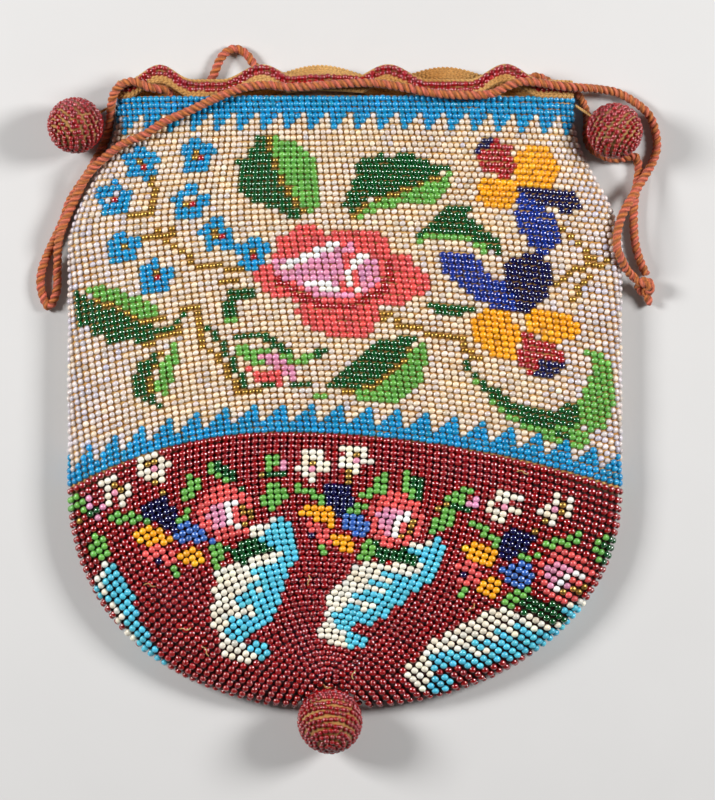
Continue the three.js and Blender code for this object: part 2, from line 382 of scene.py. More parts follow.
@dataclass(frozen=True)
class GlassFinish:
    """Glass beads: the tint comes from each bead, and painted shade darkens each bead towards its lower side,
    low between its neighbours.
    """

    name: str
    rough: Span
    coat: float
    coat_rough: float = 0.08
    metal: float = 0.0
    low_shade: float = 0.5
    specular: float = 0.5
    coat_ior: float = 1.5
    mottle: float = 0.12
    mottle_scale: float = 900.0
    mottle_span: Span = (0.25, 0.75)
    crown_span: Span = (-0.5, 0.45)
    dimple: float = 0.00003
    dimple_strength: float = 0.5

    def material(self) -> Material:
        """Builds the glass, with tint, mottling, painted shade low on each bead and tiny dimples.

        Returns:
            The material.
        """
        nodes = Nodes(self.name)
        tint = nodes.attribute("bead_tint")
        crown = nodes.attribute("crown")
        grain = nodes.noise(self.mottle_scale)
        mottled = nodes.ranged(grain, self.mottle_span, (1 - self.mottle, 1 + self.mottle))
        # Painted shade: each bead's colour darkens from its crown down to low_shade on its lower side.
        shaded = nodes.ranged(crown.outputs["Fac"], self.crown_span, (self.low_shade, 1.0))
        colour = nodes.scale(nodes.scale(tint.outputs["Color"], mottled), shaded)
        nodes.dress(colour, nodes.ranged(grain, FIBRE_SPAN, self.rough))
        nodes.settle(Coat_Weight=self.coat, Coat_Roughness=self.coat_rough, Coat_IOR=self.coat_ior,
                     Metallic=self.metal, Specular_IOR_Level=self.specular)
        nodes.bump(grain, self.dimple, self.dimple_strength)
        return nodes.material


@dataclass(frozen=True)
class ThreadFinish:
    """Soft spun thread, with fibres, a dull sheen and worn paler patches."""

    name: str
    colour: Colour
    pale: Colour
    # The colour of the painted shade that darkens the thread between beads.
    gap_shade: Colour = (54, 14, 10)
    fibre_scale: float = 2600.0
    fibre_detail: float = 4.0
    fibre_shade: Span = (0.6, 1.15)
    patch_scale: float = 60.0
    patch_detail: float = 3.0
    patch_span: Span = (0.35, 0.7)
    rough: Span = (0.95, 0.7)
    sheen: float = 0.25
    specular: float = 0.25
    depth: float = 0.00025
    depth_strength: float = 0.7

    def material(self) -> Material:
        """Builds the thread from two colours, fibres, patches of wear and the painted shade that the piece
        carries between its beads.

        Returns:
            The material.
        """
        nodes = Nodes(self.name)
        fibres = nodes.noise(self.fibre_scale, self.fibre_detail)
        patches = nodes.noise(self.patch_scale, self.patch_detail)
        worn = nodes.blend(self.colour, self.pale, nodes.ranged(patches, self.patch_span, FULL_SPAN))
        # Painted shade: the thread goes to this near-black red where it shows between the base's and the
        # balls' beads.
        gap_shaded = nodes.blend(worn, self.gap_shade, nodes.attribute("gap_shade").outputs["Fac"])
        colour = nodes.scale(gap_shaded, nodes.ranged(fibres, FIBRE_SPAN, self.fibre_shade))
        nodes.dress(colour, nodes.ranged(fibres, FIBRE_SPAN, self.rough))
        nodes.settle(Sheen_Weight=self.sheen, Specular_IOR_Level=self.specular)
        nodes.bump(fibres, self.depth, self.depth_strength)
        return nodes.material


@dataclass(frozen=True)
class CordFinish:
    """Silky two-ply cord whose plies take their own shade, faded in places."""

    name: str
    faded: Colour
    fibre_scale: float = 1900.0
    fibre_detail: float = 4.0
    fibre_shade: Span = (0.75, 1.1)
    fade_scale: float = 45.0
    fade_span: Span = (0.45, 0.75)
    fade_share: Span = (0.0, 0.7)
    strand_shade: Span = (0.42, 1.1)
    rough: Span = (0.75, 0.5)
    sheen: float = 0.15
    specular: float = 0.3
    depth: float = 0.0002
    depth_strength: float = 0.8

    def material(self) -> Material:
        """Builds the cord from each ply's tint, fading, painted shade in the creases between strands, and
        fine fibres.

        Returns:
            The material.
        """
        nodes = Nodes(self.name)
        tint = nodes.attribute("ply_tint")
        strand = nodes.attribute("strand").outputs["Fac"]
        fibres = nodes.noise(self.fibre_scale, self.fibre_detail)
        fading = nodes.ranged(nodes.noise(self.fade_scale), self.fade_span, self.fade_share)
        blended = nodes.blend(tint.outputs["Color"], self.faded, fading)
        colour = nodes.scale(blended, nodes.ranged(fibres, FIBRE_SPAN, self.fibre_shade))
        # Painted shade: each ply darkens in the creases between its strands, down to strand_shade's low end.
        shaded = nodes.scale(colour, nodes.ranged(strand, FULL_SPAN, self.strand_shade))
        nodes.dress(shaded, nodes.ranged(fibres, FIBRE_SPAN, self.rough))
        nodes.settle(Sheen_Weight=self.sheen, Specular_IOR_Level=self.specular)
        nodes.bump(strand, self.depth, self.depth_strength)
        return nodes.material


@dataclass(frozen=True)
class WoodFinish:
    """Plain turned wood, for the cores inside the balls."""

    name: str
    dark: Colour = (120, 78, 42)
    pale: Colour = (176, 128, 78)
    grain_scale: float = 260.0
    grain_bend: float = 6.0
    grain_detail: float = 3.0
    rough: Span = (0.75, 0.55)
    depth: float = 0.0001
    depth_strength: float = 0.4

    def material(self) -> Material:
        """Builds the wood from bent grain rings.

        Returns:
            The material.
        """
        nodes = Nodes(self.name)
        place = nodes.add("ShaderNodeTexCoord")
        wave = nodes.add("ShaderNodeTexWave", in_Scale=self.grain_scale, in_Distortion=self.grain_bend,
                         in_Detail=self.grain_detail)
        nodes.join(place.outputs["Object"], wave.inputs["Vector"])
        grain = wave.outputs["Fac"]
        nodes.dress(nodes.blend(self.dark, self.pale, grain), nodes.ranged(grain, FULL_SPAN, self.rough))
        nodes.bump(grain, self.depth, self.depth_strength)
        return nodes.material


@dataclass(frozen=True)
class BeadForm:
    """One bead: a rounded barrel whose hole runs along its row."""

    segments: int = 8
    rings: int = 4
    squareness: float = 2.15
    end_reach: float = 0.97

    def points(self) -> Array:
        """Places the bead's corners in a box from -1 to 1, with the hole along x and up along z.

        Returns:
            One row of x, y and z for each corner.
        """
        made = []
        for ring in range(1, self.rings + 1):
            along = -math.cos(math.pi * ring / (self.rings + 1))
            out = (1 - abs(along) ** self.squareness) ** (1 / self.squareness)
            for step in range(self.segments):
                angle = 2 * math.pi * (step + 0.5) / self.segments
                made.append((along, out * math.cos(angle), out * math.sin(angle)))
        made.append((-self.end_reach, 0.0, 0.0))
        made.append((self.end_reach, 0.0, 0.0))
        return np.array(made)

    def faces(self) -> Array:
        """Joins the corners by triangles that face outwards.

        Returns:
            Three point numbers for each triangle.
        """
        made = []
        count = self.segments
        first_end = self.rings * count
        for step in range(count):
            after = (step + 1) % count
            made.append((first_end, after, step))
            last = (self.rings - 1) * count
            made.append((first_end + 1, last + step, last + after))
            for ring in range(self.rings - 1):
                low = ring * count
                high = low + count
                made.append((low + step, low + after, high + after))
                made.append((low + step, high + after, high + step))
        return np.array(made)


FACE_BEAD = BeadForm()
BACK_BEAD = BeadForm(segments=6, rings=2)
STITCH = BeadForm(segments=6, rings=3, squareness=2.0)


@dataclass
class BeadSet:
    """Beads that are placed but not yet made: their centres, directions, sizes and colours."""

    LILAC: ClassVar[Colour] = (202, 196, 210)
    LILAC_SHARE: ClassVar[Span] = (0.14, 0.2)
    EDGE_LILAC: ClassVar[float] = 0.45
    EDGE_SPAN: ClassVar[Span] = (50, 82)
    LIGHT_SPREAD: ClassVar[float] = 0.1
    WARM_SPREAD: ClassVar[float] = 0.035
    WARM_WAY: ClassVar[Triple] = (1.0, 0.1, -1.2)
    TINT_RANGE: ClassVar[Span] = (0.002, 0.95)

    centre: Array
    along: Array
    up: Array
    size: Array
    colour: Array

    def chosen(self, keep: Array) -> BeadSet:
        """The beads for which keep is true."""
        return BeadSet(self.centre[keep], self.along[keep], self.up[keep], self.size[keep], self.colour[keep])

    @staticmethod
    def together(sets: list[BeadSet]) -> BeadSet:
        """Puts several sets of beads into one."""
        names = ("centre", "along", "up", "size", "colour")
        return BeadSet(*[np.concatenate([getattr(part, name) for part in sets]) for name in names])

    def tints(self, rng: Rng) -> Array:
        """Gives each bead its own linear tint, varied as hand-sorted beads are.

        Args:
            rng: the source of the variation.

        Returns:
            One row of red, green and blue for each bead.
        """
        palette = np.array([linear(bead.daylight) for bead in Bead])
        tint = palette[self.colour]
        light = 1 + rng.normal(0, self.LIGHT_SPREAD, (len(tint), 1))
        warm = rng.normal(0, self.WARM_SPREAD, (len(tint), 1)) * np.array([self.WARM_WAY])
        pearl = self.colour == Bead.CREAM.number
        edge = smooth_share(np.abs(self.centre[pearl, :1]), *self.EDGE_SPAN)
        lilac = rng.normal(*self.LILAC_SHARE, (int(pearl.sum()), 1))
        share = np.clip(lilac + self.EDGE_LILAC * edge, 0, 1)
        tint[pearl] = mix(tint[pearl], np.array(linear(self.LILAC)), share)
        return np.clip(tint * light * (1 + warm), *self.TINT_RANGE)

    def make(self, name: str, form: BeadForm, rng: Rng) -> Piece:
        """Makes one mesh of all the beads, with a tint and a height value at each point.

        Args:
            name: the piece's name.
            form: the bead's shape.
            rng: the source of the variation.

        Returns:
            The new object.
        """
        along = unit(self.along)
        up = unit(self.up - along * np.sum(self.up * along, axis=1, keepdims=True))
        down_row = np.cross(up, along)
        turn = np.stack([along, down_row, up], axis=2)
        local = form.points()
        placed = np.einsum("nij,nkj->nki", turn, local[None] * self.size[:, None, :])
        points = (placed + self.centre[:, None, :]).reshape(-1, 3)
        offsets = np.arange(len(self.centre))[:, None, None] * len(local)
        faces = (form.faces()[None] + offsets).reshape(-1, 3)
        obj = mesh_object(name, points, faces)
        point_values(obj, "bead_tint", np.repeat(self.tints(rng), len(local), axis=0))
        # The crown value is each point's height on its bead; the glass paints shade where it is low.
        point_values(obj, "crown", np.tile(local[:, 2], len(self.centre)))
        return obj


@dataclass(frozen=True)
class Patch:
    """A field of one bead colour inside an outline, in chart units."""

    bead: Bead
    outline: tuple[Point, ...]

    def covers(self, x: Array, y: Array) -> Array:
        """Finds the places inside the outline.

        Args:
            x: the places across.
            y: the places down.

        Returns:
            True for each place inside.
        """
        inside = np.zeros(x.shape, bool)
        last_x, last_y = self.outline[-1]
        for next_x, next_y in self.outline:
            crosses = (next_y > y) != (last_y > y)
            rise = last_y - next_y
            edge = next_x + (y - next_y) / (rise if rise else TINY) * (last_x - next_x)
            inside ^= crosses & (x < edge)
            last_x, last_y = next_x, next_y
        return inside

    def moved(self, fit: Array) -> Patch:
        """The same field carried to another place by a fit."""
        return Patch(self.bead, tuple(carry(fit, point) for point in self.outline))


@dataclass(frozen=True)
class Stem:
    """A line of one bead colour, in chart units."""

    bead: Bead
    points: tuple[Point, ...]
    width: float

    def covers(self, x: Array, y: Array) -> Array:
        """Finds the places on the line.

        Args:
            x: the places across.
            y: the places down.

        Returns:
            True for each place on the line.
        """
        nearest = np.full(x.shape, np.inf)
        for (ax, ay), (bx, by) in zip(self.points, self.points[1:]):
            length = max((bx - ax) ** 2 + (by - ay) ** 2, TINY)
            share = np.clip(((x - ax) * (bx - ax) + (y - ay) * (by - ay)) / length, 0, 1)
            nearest = np.minimum(nearest, np.hypot(x - ax - share * (bx - ax), y - ay - share * (by - ay)))
        return nearest < self.width / 2

    def moved(self, fit: Array) -> Stem:
        """The same line carried to another place by a fit."""
        return Stem(self.bead, tuple(carry(fit, point) for point in self.points), self.width)


@dataclass(frozen=True)
class Spot:
    """A round field of one bead colour, in chart units."""

    bead: Bead
    centre: Point
    radius: float

    def covers(self, x: Array, y: Array) -> Array:
        """Which of the places lie in the round."""
        return np.hypot(x - self.centre[0], y - self.centre[1]) < self.radius

    def moved(self, fit: Array) -> Spot:
        """The same round carried to another place by a fit."""
        return Spot(self.bead, carry(fit, self.centre), self.radius)


Mark = Patch | Stem | Spot


def carry(fit: Array, point: Point) -> Point:
    """Moves a chart point by a fit of two rows and three columns."""
    moved = fit @ np.array([point[0], point[1], 1.0])
    return float(moved[0]), float(moved[1])


def fit_between(source: tuple[Point, ...], target: tuple[Point, ...]) -> Array:
    """Finds the fit that carries three chart points to three others.

    Args:
        source: the points in the first place.
        target: the same points in the second place.

    Returns:
        A matrix of two rows and three columns.
    """
    corners = np.array([[x, y, 1.0] for x, y in source])
    return np.linalg.solve(corners, np.array(target)).T


@dataclass(frozen=True)
class SmallFlower:
    """A small flower with a gilt eye and a heart of another colour, in chart units."""

    petal: Bead
    first_angle: float
    reach: float
    petal_radius: float
    eye_radius: float
    heart: Bead
    heart_offset: Point
    heart_radius: float
    petals: int = 5

    def marks(self, centre: Point) -> list[Mark]:
        """Draws the flower at a place.

        Args:
            centre: the place on the chart.

        Returns:
            The flower's rounds, the last on top.
        """
        made: list[Mark] = []
        for petal in range(self.petals):
            angle = math.radians(360 / self.petals * petal + self.first_angle)
            place = (centre[0] + self.reach * math.cos(angle), centre[1] + self.reach * math.sin(angle))
            made.append(Spot(self.petal, place, self.petal_radius))
        made.append(Spot(Bead.GOLD, centre, self.eye_radius))
        heart = (centre[0] + self.heart_offset[0], centre[1] + self.heart_offset[1])
        made.append(Spot(self.heart, heart, self.heart_radius))
        return made


BLUE_FLOWER = SmallFlower(
    Bead.TURQUOISE, first_angle=-90, reach=11.4, petal_radius=7.0, eye_radius=5.0,
    heart=Bead.RED, heart_offset=(3, 2), heart_radius=3.0)
WHITE_FLOWER = SmallFlower(
    Bead.CHALK, first_angle=-60, reach=10.5, petal_radius=6.0, eye_radius=5.4,
    heart=Bead.PINK, heart_offset=(-1, 1), heart_radius=3.2)
FINE_RIB = 4.6
RIB = 5.0
STALK = 5.6
LINE = 6.0
FULL_LINE = 6.4
EDGE_LINE = 7.0
LEAF_LINE = 8.0


class SideFlowers:
    """The bouquet on the cream field, in chart units of the flat bag's face."""

    SMALL_FLOWERS = (
        (142, 164), (198, 157), (115, 199), (191, 204), (124, 248), (218, 236), (156, 277), (252, 254),
    )
    SPRAY_STEMS = (
        ((153, 181), (155, 204), (155, 227), (164, 238), (176, 230)),
        ((134, 240), (164, 238), (184, 253), (199, 267), (216, 267), (240, 269)),
        ((124, 211), (142, 219), (155, 213)),
        ((220, 286), (240, 278)),
        ((180, 307), (199, 309)),
    )
    TALL_LEAF_DARK = (
        (261, 135), (252, 146), (251, 158), (238, 162), (237, 186), (247, 198), (262, 207), (281, 213),
        (295, 221), (304, 217), (293, 198), (283, 183), (275, 165), (268, 139),
    )
    TALL_LEAF_LIGHT = (
        (266, 135), (296, 144), (312, 158), (318, 169), (320, 202), (314, 213), (307, 213), (298, 206),
        (293, 198), (283, 183), (275, 165), (268, 139),
    )
    TALL_LEAF_RIB = ((268, 139), (275, 165), (283, 183), (293, 198), (298, 206), (307, 213), (308, 223))
    WIDE_LEAF_DARK = (
        (358, 160), (381, 156), (415, 157), (421, 163), (451, 164), (448, 171), (423, 183), (406, 188),
        (386, 194), (373, 199), (360, 206), (354, 215), (350, 219), (344, 204), (352, 183),
    )
    WIDE_LEAF_LIGHT = (
        (452, 171), (448, 186), (438, 204), (413, 204), (390, 209), (365, 217), (356, 222), (360, 209),
        (386, 197), (406, 191), (427, 184),
    )
    WIDE_LEAF_RIB = ((440, 178), (408, 190), (386, 197), (364, 207), (354, 220))
    SMALL_LEAF = (
        (411, 242), (425, 225), (442, 208), (468, 208), (470, 219), (485, 230), (500, 244), (500, 256),
        (484, 250), (470, 240), (445, 232), (425, 236),
    )
    SMALL_LEAF_LIGHT = ((420, 240), (445, 236), (466, 240), (484, 250))
    ROSE = (
        (296, 228), (319, 228), (327, 236), (342, 229), (377, 231), (384, 240), (394, 253), (407, 257),
        (417, 269), (427, 278), (427, 294), (413, 299), (401, 306), (378, 306), (376, 326), (371, 333),
        (367, 340), (333, 340), (316, 332), (307, 326), (298, 314), (296, 301), (279, 299), (268, 294),
        (258, 284), (256, 272), (268, 265), (275, 255), (277, 240),
    )
    ROSE_SHADE = (
        (272, 270), (283, 281), (300, 289), (318, 301), (352, 302), (364, 294), (378, 291), (384, 272),
        (382, 256), (392, 262), (392, 282), (384, 298), (366, 304), (350, 310), (314, 308), (298, 297),
        (280, 288),
    )
    ROSE_INNER = (
        (270, 261), (303, 256), (322, 250), (341, 243), (345, 262), (345, 283), (325, 287), (300, 287),
        (283, 279), (272, 269),
    )
    ROSE_RIGHT = ((356, 259), (380, 258), (382, 272), (376, 290), (362, 292), (356, 280))
    ROSE_TOP = ((344, 240), (357, 240), (357, 252), (345, 255))
    ROSE_LOW = ((305, 288), (352, 292), (352, 300), (317, 300))
    ROSE_LIGHTS = (
        ((285, 268), (308, 257), (320, 252), (335, 246), (341, 243)),
        ((371, 255), (361, 258), (352, 265), (350, 278), (356, 294)),
        ((309, 285), (334, 288)),
    )
    PANSY_TOP_NAVY = ((484, 140), (492, 140), (492, 158), (471, 158))
    PANSY_TOP_RED = ((494, 140), (509, 146), (514, 158), (515, 171), (511, 179), (492, 177), (472, 162))
    PANSY_TOP_YELLOW = (
        (526, 147), (545, 147), (555, 158), (557, 173), (553, 186), (547, 192), (528, 190), (515, 186),
        (514, 173), (516, 158),
    )
    PANSY_TOP_LOW = ((484, 179), (507, 179), (515, 184), (518, 207), (486, 207), (478, 200), (476, 186))
    PANSY_TOP_WING = (
        (515, 187), (526, 190), (547, 192), (562, 190), (580, 198), (582, 211), (562, 213), (540, 207),
        (520, 198),
    )
    PANSY_TOP_BLUE = (
        (516, 192), (536, 204), (551, 213), (555, 227), (559, 238), (557, 250), (547, 255), (536, 253),
        (526, 240), (516, 230), (514, 211),
    )
    PANSY_BLUE = (
        (440, 250), (467, 251), (478, 263), (492, 276), (503, 284), (516, 295), (520, 315), (511, 315),
        (488, 307), (465, 294), (455, 284), (438, 270),
    )
    PANSY_NAVY = (
        (507, 257), (538, 255), (549, 263), (552, 284), (543, 299), (532, 311), (520, 313), (516, 297),
        (503, 286), (501, 274),
    )
    PANSY_YELLOW_LEFT = (
        (485, 311), (506, 313), (511, 321), (520, 335), (516, 359), (495, 361), (481, 349), (473, 341),
        (471, 326), (476, 316),
    )
    PANSY_YELLOW_RIGHT = (
        (529, 311), (573, 315), (578, 330), (573, 341), (556, 343), (541, 340), (526, 330), (523, 320),
    )
    PANSY_RED = (
        (521, 330), (538, 338), (554, 345), (563, 353), (563, 359), (554, 363), (540, 356), (538, 366),
        (533, 376), (520, 368), (518, 349),
    )
    PANSY_SPOT = ((540, 356), (556, 364), (563, 366), (554, 376), (543, 379), (533, 374))
    RIGHT_SPRIGS = (
        ((556, 285), (566, 275), (586, 267), (606, 263)),
        ((569, 303), (578, 291), (589, 278)),
        ((559, 228), (585, 250), (593, 261)),
    )
    CRESCENT_DARK = (
        (465, 354), (468, 366), (483, 379), (501, 393), (513, 401), (533, 408), (553, 411), (569, 404),
        (578, 404), (578, 419), (569, 426), (548, 428), (520, 422), (500, 408), (480, 386), (466, 372),
    )
    CRESCENT_LIGHT = (
        (467, 374), (482, 388), (500, 408), (520, 422), (548, 428), (578, 424), (593, 442), (583, 449),
        (559, 444), (540, 439), (526, 429), (503, 417), (490, 401), (480, 389),
    )
    CRESCENT_RIGHT = (
        (581, 348), (593, 348), (607, 359), (614, 384), (614, 406), (606, 426), (594, 432), (578, 426),
        (579, 403), (589, 379), (589, 359),
    )
    CRESCENT_VEIN = ((548, 425), (568, 440))
    LEFT_LEAF_LIGHT = (
        (80, 287), (118, 287), (128, 295), (143, 298), (156, 308), (166, 316), (159, 320), (140, 318),
        (131, 311), (106, 301), (90, 296),
    )
    LEFT_LEAF_DARK = (
        (75, 290), (88, 296), (103, 305), (131, 316), (140, 325), (166, 326), (178, 321), (186, 311),
        (188, 315), (181, 326), (166, 335), (146, 341), (106, 346), (111, 338), (96, 335), (90, 323),
        (75, 328), (76, 310),
    )
    LEFT_LEAF_RIB = ((98, 300), (111, 306), (133, 316), (143, 322), (169, 320))
    LOW_LEAF_DARK = (
        (158, 343), (153, 356), (140, 363), (133, 379), (138, 396), (146, 404), (159, 409), (163, 406),
        (156, 393), (149, 384), (154, 368), (161, 356),
    )
    LOW_LEAF_LIGHT = (
        (174, 340), (179, 356), (176, 376), (169, 393), (161, 398), (156, 386), (164, 363), (171, 349),
    )
    LOW_LEAF_RIB = ((163, 354), (154, 369), (151, 383), (154, 393))
    LEFT_STEMS = (
        ((149, 345), (159, 338), (181, 330)),
        ((181, 308), (199, 306), (197, 326), (202, 343), (211, 351), (227, 366), (234, 383), (242, 393)),
    )
    HOOK = ((226, 298), (232, 291), (256, 290), (256, 296), (240, 299), (237, 318), (226, 318))
    HOOK_FOOT = ((226, 321), (237, 321))
    BUD_LINE = ((206, 326), (219, 340), (227, 353), (236, 368), (247, 384))
    BUD_TOP = ((240, 338), (260, 335), (271, 340), (278, 346), (290, 355))
    BUD_GREEN = ((231, 344), (244, 344), (262, 352), (274, 350), (262, 366), (246, 360))
    BUD_TAIL = ((286, 358), (301, 361), (315, 356))
    BUD_TIP = ((315, 356), (323, 352))
    BUD_PINK = ((255, 356), (271, 353), (283, 358), (292, 366), (294, 381), (284, 376), (271, 367))
    BUD_CORAL = (
        (243, 367), (260, 370), (278, 369), (281, 379), (290, 389), (283, 387), (271, 381), (257, 381),
    )
    BUD_DASHES = (((263, 385), (274, 386)), ((292, 386), (312, 386)))
    BUD_LIGHT_DASH = ((315, 394), (327, 395))
    BUD_GOLD = ((240, 391), (261, 391))
    CENTRE_LEAF_DARK = (
        (326, 387), (347, 370), (359, 355), (378, 340), (416, 336), (419, 340), (407, 347), (401, 361),
        (381, 378), (372, 382), (361, 390),
    )
    CENTRE_LEAF_LIGHT = (
        (424, 343), (427, 352), (424, 367), (424, 379), (408, 392), (399, 402), (361, 399), (344, 392),
        (375, 390), (387, 379), (402, 366), (411, 352),
    )
    CENTRE_LEAF_RIB = ((346, 391), (372, 387), (388, 377), (402, 363), (411, 349))
    DARK_DASH = ((425, 306), (456, 303), (479, 306), (470, 312), (456, 317), (436, 315))
    CENTRE_STEM = (
        (379, 318), (393, 314), (395, 325), (421, 327), (427, 335), (460, 340), (467, 352), (477, 359),
    )

    def marks(self) -> list[Mark]:
        """Puts the bouquet together, in the order that its parts are laid over each other.

        Returns:
            The fields and lines, the last on top.
        """
        made: list[Mark] = []
        for line in (*self.SPRAY_STEMS, *self.LEFT_STEMS, *self.RIGHT_SPRIGS, self.CENTRE_STEM):
            made.append(Stem(Bead.GOLD, line, LINE))
        for place in self.SMALL_FLOWERS:
            made.extend(BLUE_FLOWER.marks(place))
        made.extend(self.leaves())
        made.extend(self.rose())
        made.extend(self.pansies())
        made.extend(self.bud())
        return made

    def leaves(self) -> list[Mark]:
        """Draws the two-toned leaves with their gilt ribs.

        Returns:
            The fields and lines, the last on top.
        """
        dark = Bead.DARK_GREEN
        light = Bead.LIGHT_GREEN
        return [
            Patch(light, self.TALL_LEAF_LIGHT), Patch(dark, self.TALL_LEAF_DARK),
            Stem(Bead.GOLD, self.TALL_LEAF_RIB, RIB),
            Patch(light, self.WIDE_LEAF_LIGHT), Patch(dark, self.WIDE_LEAF_DARK),
            Stem(Bead.GOLD, self.WIDE_LEAF_RIB, FINE_RIB),
            Patch(dark, self.SMALL_LEAF), Stem(light, self.SMALL_LEAF_LIGHT, LINE),
            Patch(light, self.CRESCENT_LIGHT), Patch(dark, self.CRESCENT_DARK),
            Patch(light, self.CRESCENT_RIGHT), Stem(dark, self.CRESCENT_VEIN, LINE),
            Patch(light, self.LEFT_LEAF_LIGHT), Patch(dark, self.LEFT_LEAF_DARK),
            Stem(Bead.GOLD, self.LEFT_LEAF_RIB, FINE_RIB),
            Patch(light, self.LOW_LEAF_LIGHT), Patch(dark, self.LOW_LEAF_DARK),
            Stem(Bead.GOLD, self.LOW_LEAF_RIB, RIB),
            Patch(dark, self.HOOK), Stem(light, self.HOOK_FOOT, LINE),
            Patch(light, self.CENTRE_LEAF_LIGHT), Patch(dark, self.CENTRE_LEAF_DARK),
            Stem(Bead.GOLD, self.CENTRE_LEAF_RIB, FINE_RIB), Patch(dark, self.DARK_DASH),
        ]

    def rose(self) -> list[Mark]:
        """Draws the large coral rose with its pink heart.

        Returns:
            The fields and lines, the last on top.
        """
        made: list[Mark] = [Patch(Bead.CORAL, self.ROSE), Patch(Bead.RED, self.ROSE_SHADE)]
        for outline in (self.ROSE_INNER, self.ROSE_RIGHT, self.ROSE_TOP, self.ROSE_LOW):
            made.append(Patch(Bead.PINK, outline))
        for line in self.ROSE_LIGHTS:
            made.append(Stem(Bead.WHITE, line, FULL_LINE))
        return made

    def pansies(self) -> list[Mark]:
        """Draws the two pansies in navy, blue, red and yellow.

        Returns:
            The fields and lines, the last on top.
        """
        return [
            Patch(Bead.NAVY, self.PANSY_TOP_NAVY), Patch(Bead.RED, self.PANSY_TOP_RED),
            Patch(Bead.YELLOW, self.PANSY_TOP_YELLOW), Patch(Bead.YELLOW, self.PANSY_TOP_LOW),
            Patch(Bead.NAVY, self.PANSY_TOP_WING), Patch(Bead.BLUE, self.PANSY_TOP_BLUE),
            Patch(Bead.BLUE, self.PANSY_BLUE), Patch(Bead.NAVY, self.PANSY_NAVY),
            Patch(Bead.YELLOW, self.PANSY_YELLOW_LEFT), Patch(Bead.YELLOW, self.PANSY_YELLOW_RIGHT),
            Patch(Bead.RED, self.PANSY_RED), Patch(Bead.NAVY, self.PANSY_SPOT),
        ]

    def bud(self) -> list[Mark]:
        """Draws the small rosebud low on the left.

        Returns:
            The fields and lines, the last on top.
        """
        made: list[Mark] = [
            Stem(Bead.DARK_GREEN, self.BUD_LINE, LINE), Patch(Bead.LIGHT_GREEN, self.BUD_GREEN),
            Stem(Bead.DARK_GREEN, self.BUD_TOP, FULL_LINE), Stem(Bead.LIGHT_GREEN, self.BUD_TAIL, FULL_LINE),
            Stem(Bead.DARK_GREEN, self.BUD_TIP, LINE), Patch(Bead.PINK, self.BUD_PINK),
            Patch(Bead.CORAL, self.BUD_CORAL), Stem(Bead.LIGHT_GREEN, self.BUD_LIGHT_DASH, LINE),
            Stem(Bead.GOLD, self.BUD_GOLD, LINE),
        ]
        for line in self.BUD_DASHES:
            made.append(Stem(Bead.DARK_GREEN, line, LINE))
        return made


